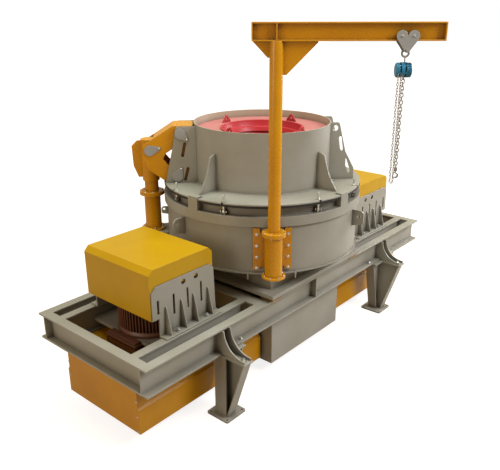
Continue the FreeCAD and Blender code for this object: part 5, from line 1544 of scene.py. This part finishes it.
@dataclass
class Drives:
    """Motors with their fins, bracket bolts and the belt guards' screws."""

    middle: float = 1.930
    fin_reach: float = 0.345
    fin_root: float = 0.318
    fins: int = 60
    motor_low: float = 0.930
    motor_high: float = 1.700
    bed: float = 0.030
    bed_half: float = 0.330
    bed_reach: float = 0.591
    foot_near: float = 2.205
    foot_far: float = 2.356
    foot_half: float = 0.240
    foot_step: float = 0.050
    foot_bolts: tuple[tuple[float, float, float], ...] = ((2.053, 0.586, 1.100), (1.632, 0.583, 1.100))
    guard_end: float = 2.644
    guard_bolts: tuple[tuple[float, float], ...] = (
        (0.575, 0.547), (0.575, 0.469), (0.575, 0.372), (0.578, 0.196), (-0.575, 0.547), (-0.575, 0.366),
        (-0.578, 0.194), (0.0, 0.730))

    def foot_casting(self, side: int) -> list[Shell]:
        """Build the stepped casting under a motor, from its low block up to its flange.

        Args:
            side: -1 for the left motor, 1 for the right one.

        Returns:
            One box for each step.
        """
        steps = []
        for inset, low, high in ((0.0, 0.800, 0.868), (0.012, 0.868, 0.884), (-0.004, 0.884, 0.912),
                                 (0.014, 0.912, self.motor_low)):
            near = self.foot_near + (self.foot_step if inset > 0 else 0.0)
            start, end = sorted((side * near, side * (self.foot_far - inset)))
            steps.append(box_shell((start, inset - self.foot_half, low), (end, self.foot_half - inset, high)))
        return steps

    def motor(self, side: int) -> Shell:
        """Build one motor: a finned drum, its end ring, its cap and its foot casting.

        The drum's radius at angle a is root + (reach - root) s, where s rises and falls
        as a rounded square wave with as many periods as there are fins.

        Args:
            side: -1 for the left motor, 1 for the right one.

        Returns:
            The motor's shell.
        """
        low, high = self.motor_low, self.motor_high
        angles = np.linspace(0.0, FULL_TURN, 6 * self.fins, endpoint=False)
        wave = np.clip(0.5 + 1.3 * np.cos(angles * self.fins), 0.0, 1.0)
        reach = self.fin_root + (self.fin_reach - self.fin_root) * wave
        drum = skin(np.stack([on_circle(share * reach, angles, low + rise)
                              for share, rise in ((0.96, 0.055), (1.0, 0.065), (1.0, 0.690), (0.94, 0.700))]))
        collar = lathe([[0.352, low], [0.352, low + 0.030], [0.330, low + 0.060]], 64)
        cap = lathe([[0.322, low + 0.695], [0.318, high - 0.030], [0.290, high]], 48)
        return merge([merge([drum, collar, cap]).moved((side * self.middle, 0.0, 0.0))] + self.foot_casting(side))

    def build(self) -> None:
        """Make the motors with their beds, and the bolts of the brackets and guards."""
        for name, side in (("left", -1), ("right", 1)):
            piece(name + "_finned_motor", self.motor(side), MAROON, Body.MACHINE, [name + "_motor"], bevel_mm=2.5)
            middle = side * self.middle
            piece(name + "_motor_bed", box_shell((middle - self.bed_half, -self.bed_reach, self.motor_low - self.bed),
                                                 (middle + self.bed_half, self.bed_reach, self.motor_low)),
                  GREY, Body.MACHINE)
        piece("bracket_foot_bolts", LARGE.at(four_corners(np.array(self.foot_bolts)), UP), PIN_GREY, Body.MACHINE,
              crease=30.0)
        screws = np.array([[self.guard_end, y, z] for y, z in self.guard_bolts])
        fasteners("guard_screws", [GUARD_SCREW.at(screws * np.array([side, 1.0, 1.0]), (side, 0.0, 0.0))
                                   for side in (-1, 1)], Body.MACHINE)


NODE_FINISH = {
    YELLOW: ("left_motor_hood", "right_motor_hood"),
    SHADED_GUARD_YELLOW: ("left_belt_guard", "right_belt_guard"),
    AMBER: ("lifter_post", "lifter_head", "lifter_arm", "jib_bracket", "jib_post", "jib_beam", "isolator_plates"),
    GREY_BEIGE_INSIDE: ("feed_hopper",),
    RED: ("feed_funnel",),
    PINK: ("feed_plate",),
    PIN_GREY: ("lifter_pins", "trolley"),
    BLUE: ("hoist",),
    MAROON: ("left_motor", "right_motor"),
    ZINC: ("load_chain", "hand_chain", "clamp_bolts"),
    RUBBER: ("isolator_pads",),
}


def paint_solids() -> None:
    """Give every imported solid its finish; what isn't named is painted grey."""
    finish_of = {node: finish for finish, nodes in NODE_FINISH.items() for node in nodes}
    for name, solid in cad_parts.items():
        solid.data.materials.clear()
        solid.data.materials.append(PALETTE.of(finish_of.get(name, GREY)))


@dataclass
class Studio:
    """Camera, lamps, world and floor."""

    camera_place: tuple[float, float, float] = (-5.7557, -4.7123, 4.2257)
    heading: float = 40.43
    dip: float = 20.698
    roll: float = 0.10
    lens: float = 43.82
    film: float = 36.0
    target: tuple[float, float, float] = (0.0, 0.0, 1.4)
    room: str = "FFE4C4"
    room_strength: float = 0.27
    mirrored_strength: float = 0.62
    floor_half: float = 60.0

    def camera(self) -> None:
        """Place the camera at the photograph's standpoint."""
        data = bpy.data.cameras.new("camera")
        data.lens, data.sensor_width = self.lens, self.film
        made = linked("camera", data)
        made.location = self.camera_place
        made.rotation_euler = (math.radians(90 - self.dip), math.radians(self.roll), math.radians(self.heading - 90))
        bpy.context.scene.camera = made

    def lamp(self, name: str, place: Sequence[float], power: float, size: float, colour: str = "FFFFFF") -> None:
        """Add a square lamp that faces the machine's middle.

        Args:
            name: the lamp's name.
            place: where it stands.
            power: its power in watts.
            size: its side.
            colour: its sRGB hex colour.
        """
        data = bpy.data.lights.new(name, "AREA")
        data.energy, data.size, data.color = power, size, linear(colour)[:3]
        made = linked(name, data)
        made.location = place
        aim = np.array(self.target) - np.array(place)
        made.rotation_euler = (math.acos(-aim[2] / np.linalg.norm(aim)), 0.0, math.atan2(aim[1], aim[0]) - math.pi / 2)

    def world(self) -> None:
        """Light evenly and warmly from all round, and show white to the camera."""
        world = bpy.data.worlds.new("studio")
        bpy.context.scene.world = world
        world.use_nodes = True
        tree = world.node_tree
        tree.nodes.clear()
        rays = add(tree, "LightPath")
        seen = add(tree, "Math", {0: rays.outputs["Is Camera Ray"], 1: rays.outputs["Is Transmission Ray"]},
                   operation="MAXIMUM")
        mirrored = add(tree, "MapRange", {"Value": rays.outputs["Is Glossy Ray"], "To Min": self.room_strength,
                                          "To Max": self.mirrored_strength})
        strength = add(tree, "MapRange", {"Value": seen.outputs[0], "To Min": mirrored.outputs["Result"],
                                          "To Max": 1.0})
        tint = add(tree, "MixRGB", {"Fac": seen.outputs[0], "Color1": linear(self.room), "Color2": WHITE})
        glow = add(tree, "Background", {"Color": tint.outputs["Color"], "Strength": strength.outputs["Result"]})
        add(tree, "OutputWorld", {"Surface": glow.outputs["Background"]})

    def floor(self) -> None:
        """Lay the floor under the foot plates."""
        half = self.floor_half
        mesh = bpy.data.meshes.new("studio_floor")
        mesh.from_pydata([(-half, -half, 0), (half, -half, 0), (half, half, 0), (-half, half, 0)], [], [(0, 1, 2, 3)])
        mesh.materials.append(PALETTE.of(StudioFloor()))
        linked("studio_floor", mesh)

    def build(self) -> None:
        """Set the whole studio."""
        self.camera()
        self.world()
        self.lamp("key_lamp", (1.8, -7.5, 7.5), 740.0, 3.5, "F6F9FF")
        self.lamp("top_lamp", (-1.0, 0.5, 9.0), 560.0, 5.0, "F4FFF8")
        self.lamp("fill_lamp", (-9.0, 0.5, 4.0), 220.0, 4.0, "FFF0DC")
        self.lamp("rim_lamp", (8.0, -2.8, 4.0), 420.0, 1.6)
        self.floor()
        bpy.context.scene.view_settings.view_transform = "Standard"


def main() -> None:
    """Build the studio, paint the solids and add each sub-assembly's pieces."""
    logging.basicConfig(level=logging.INFO, format="%(message)s")
    Studio().build()
    paint_solids()
    for assembly in (SupportFrame(), CrusherBody(), Lid(), LidLifter(), JibCrane(), Drives()):
        assembly.build()


if __name__ == "__main__":
    main()
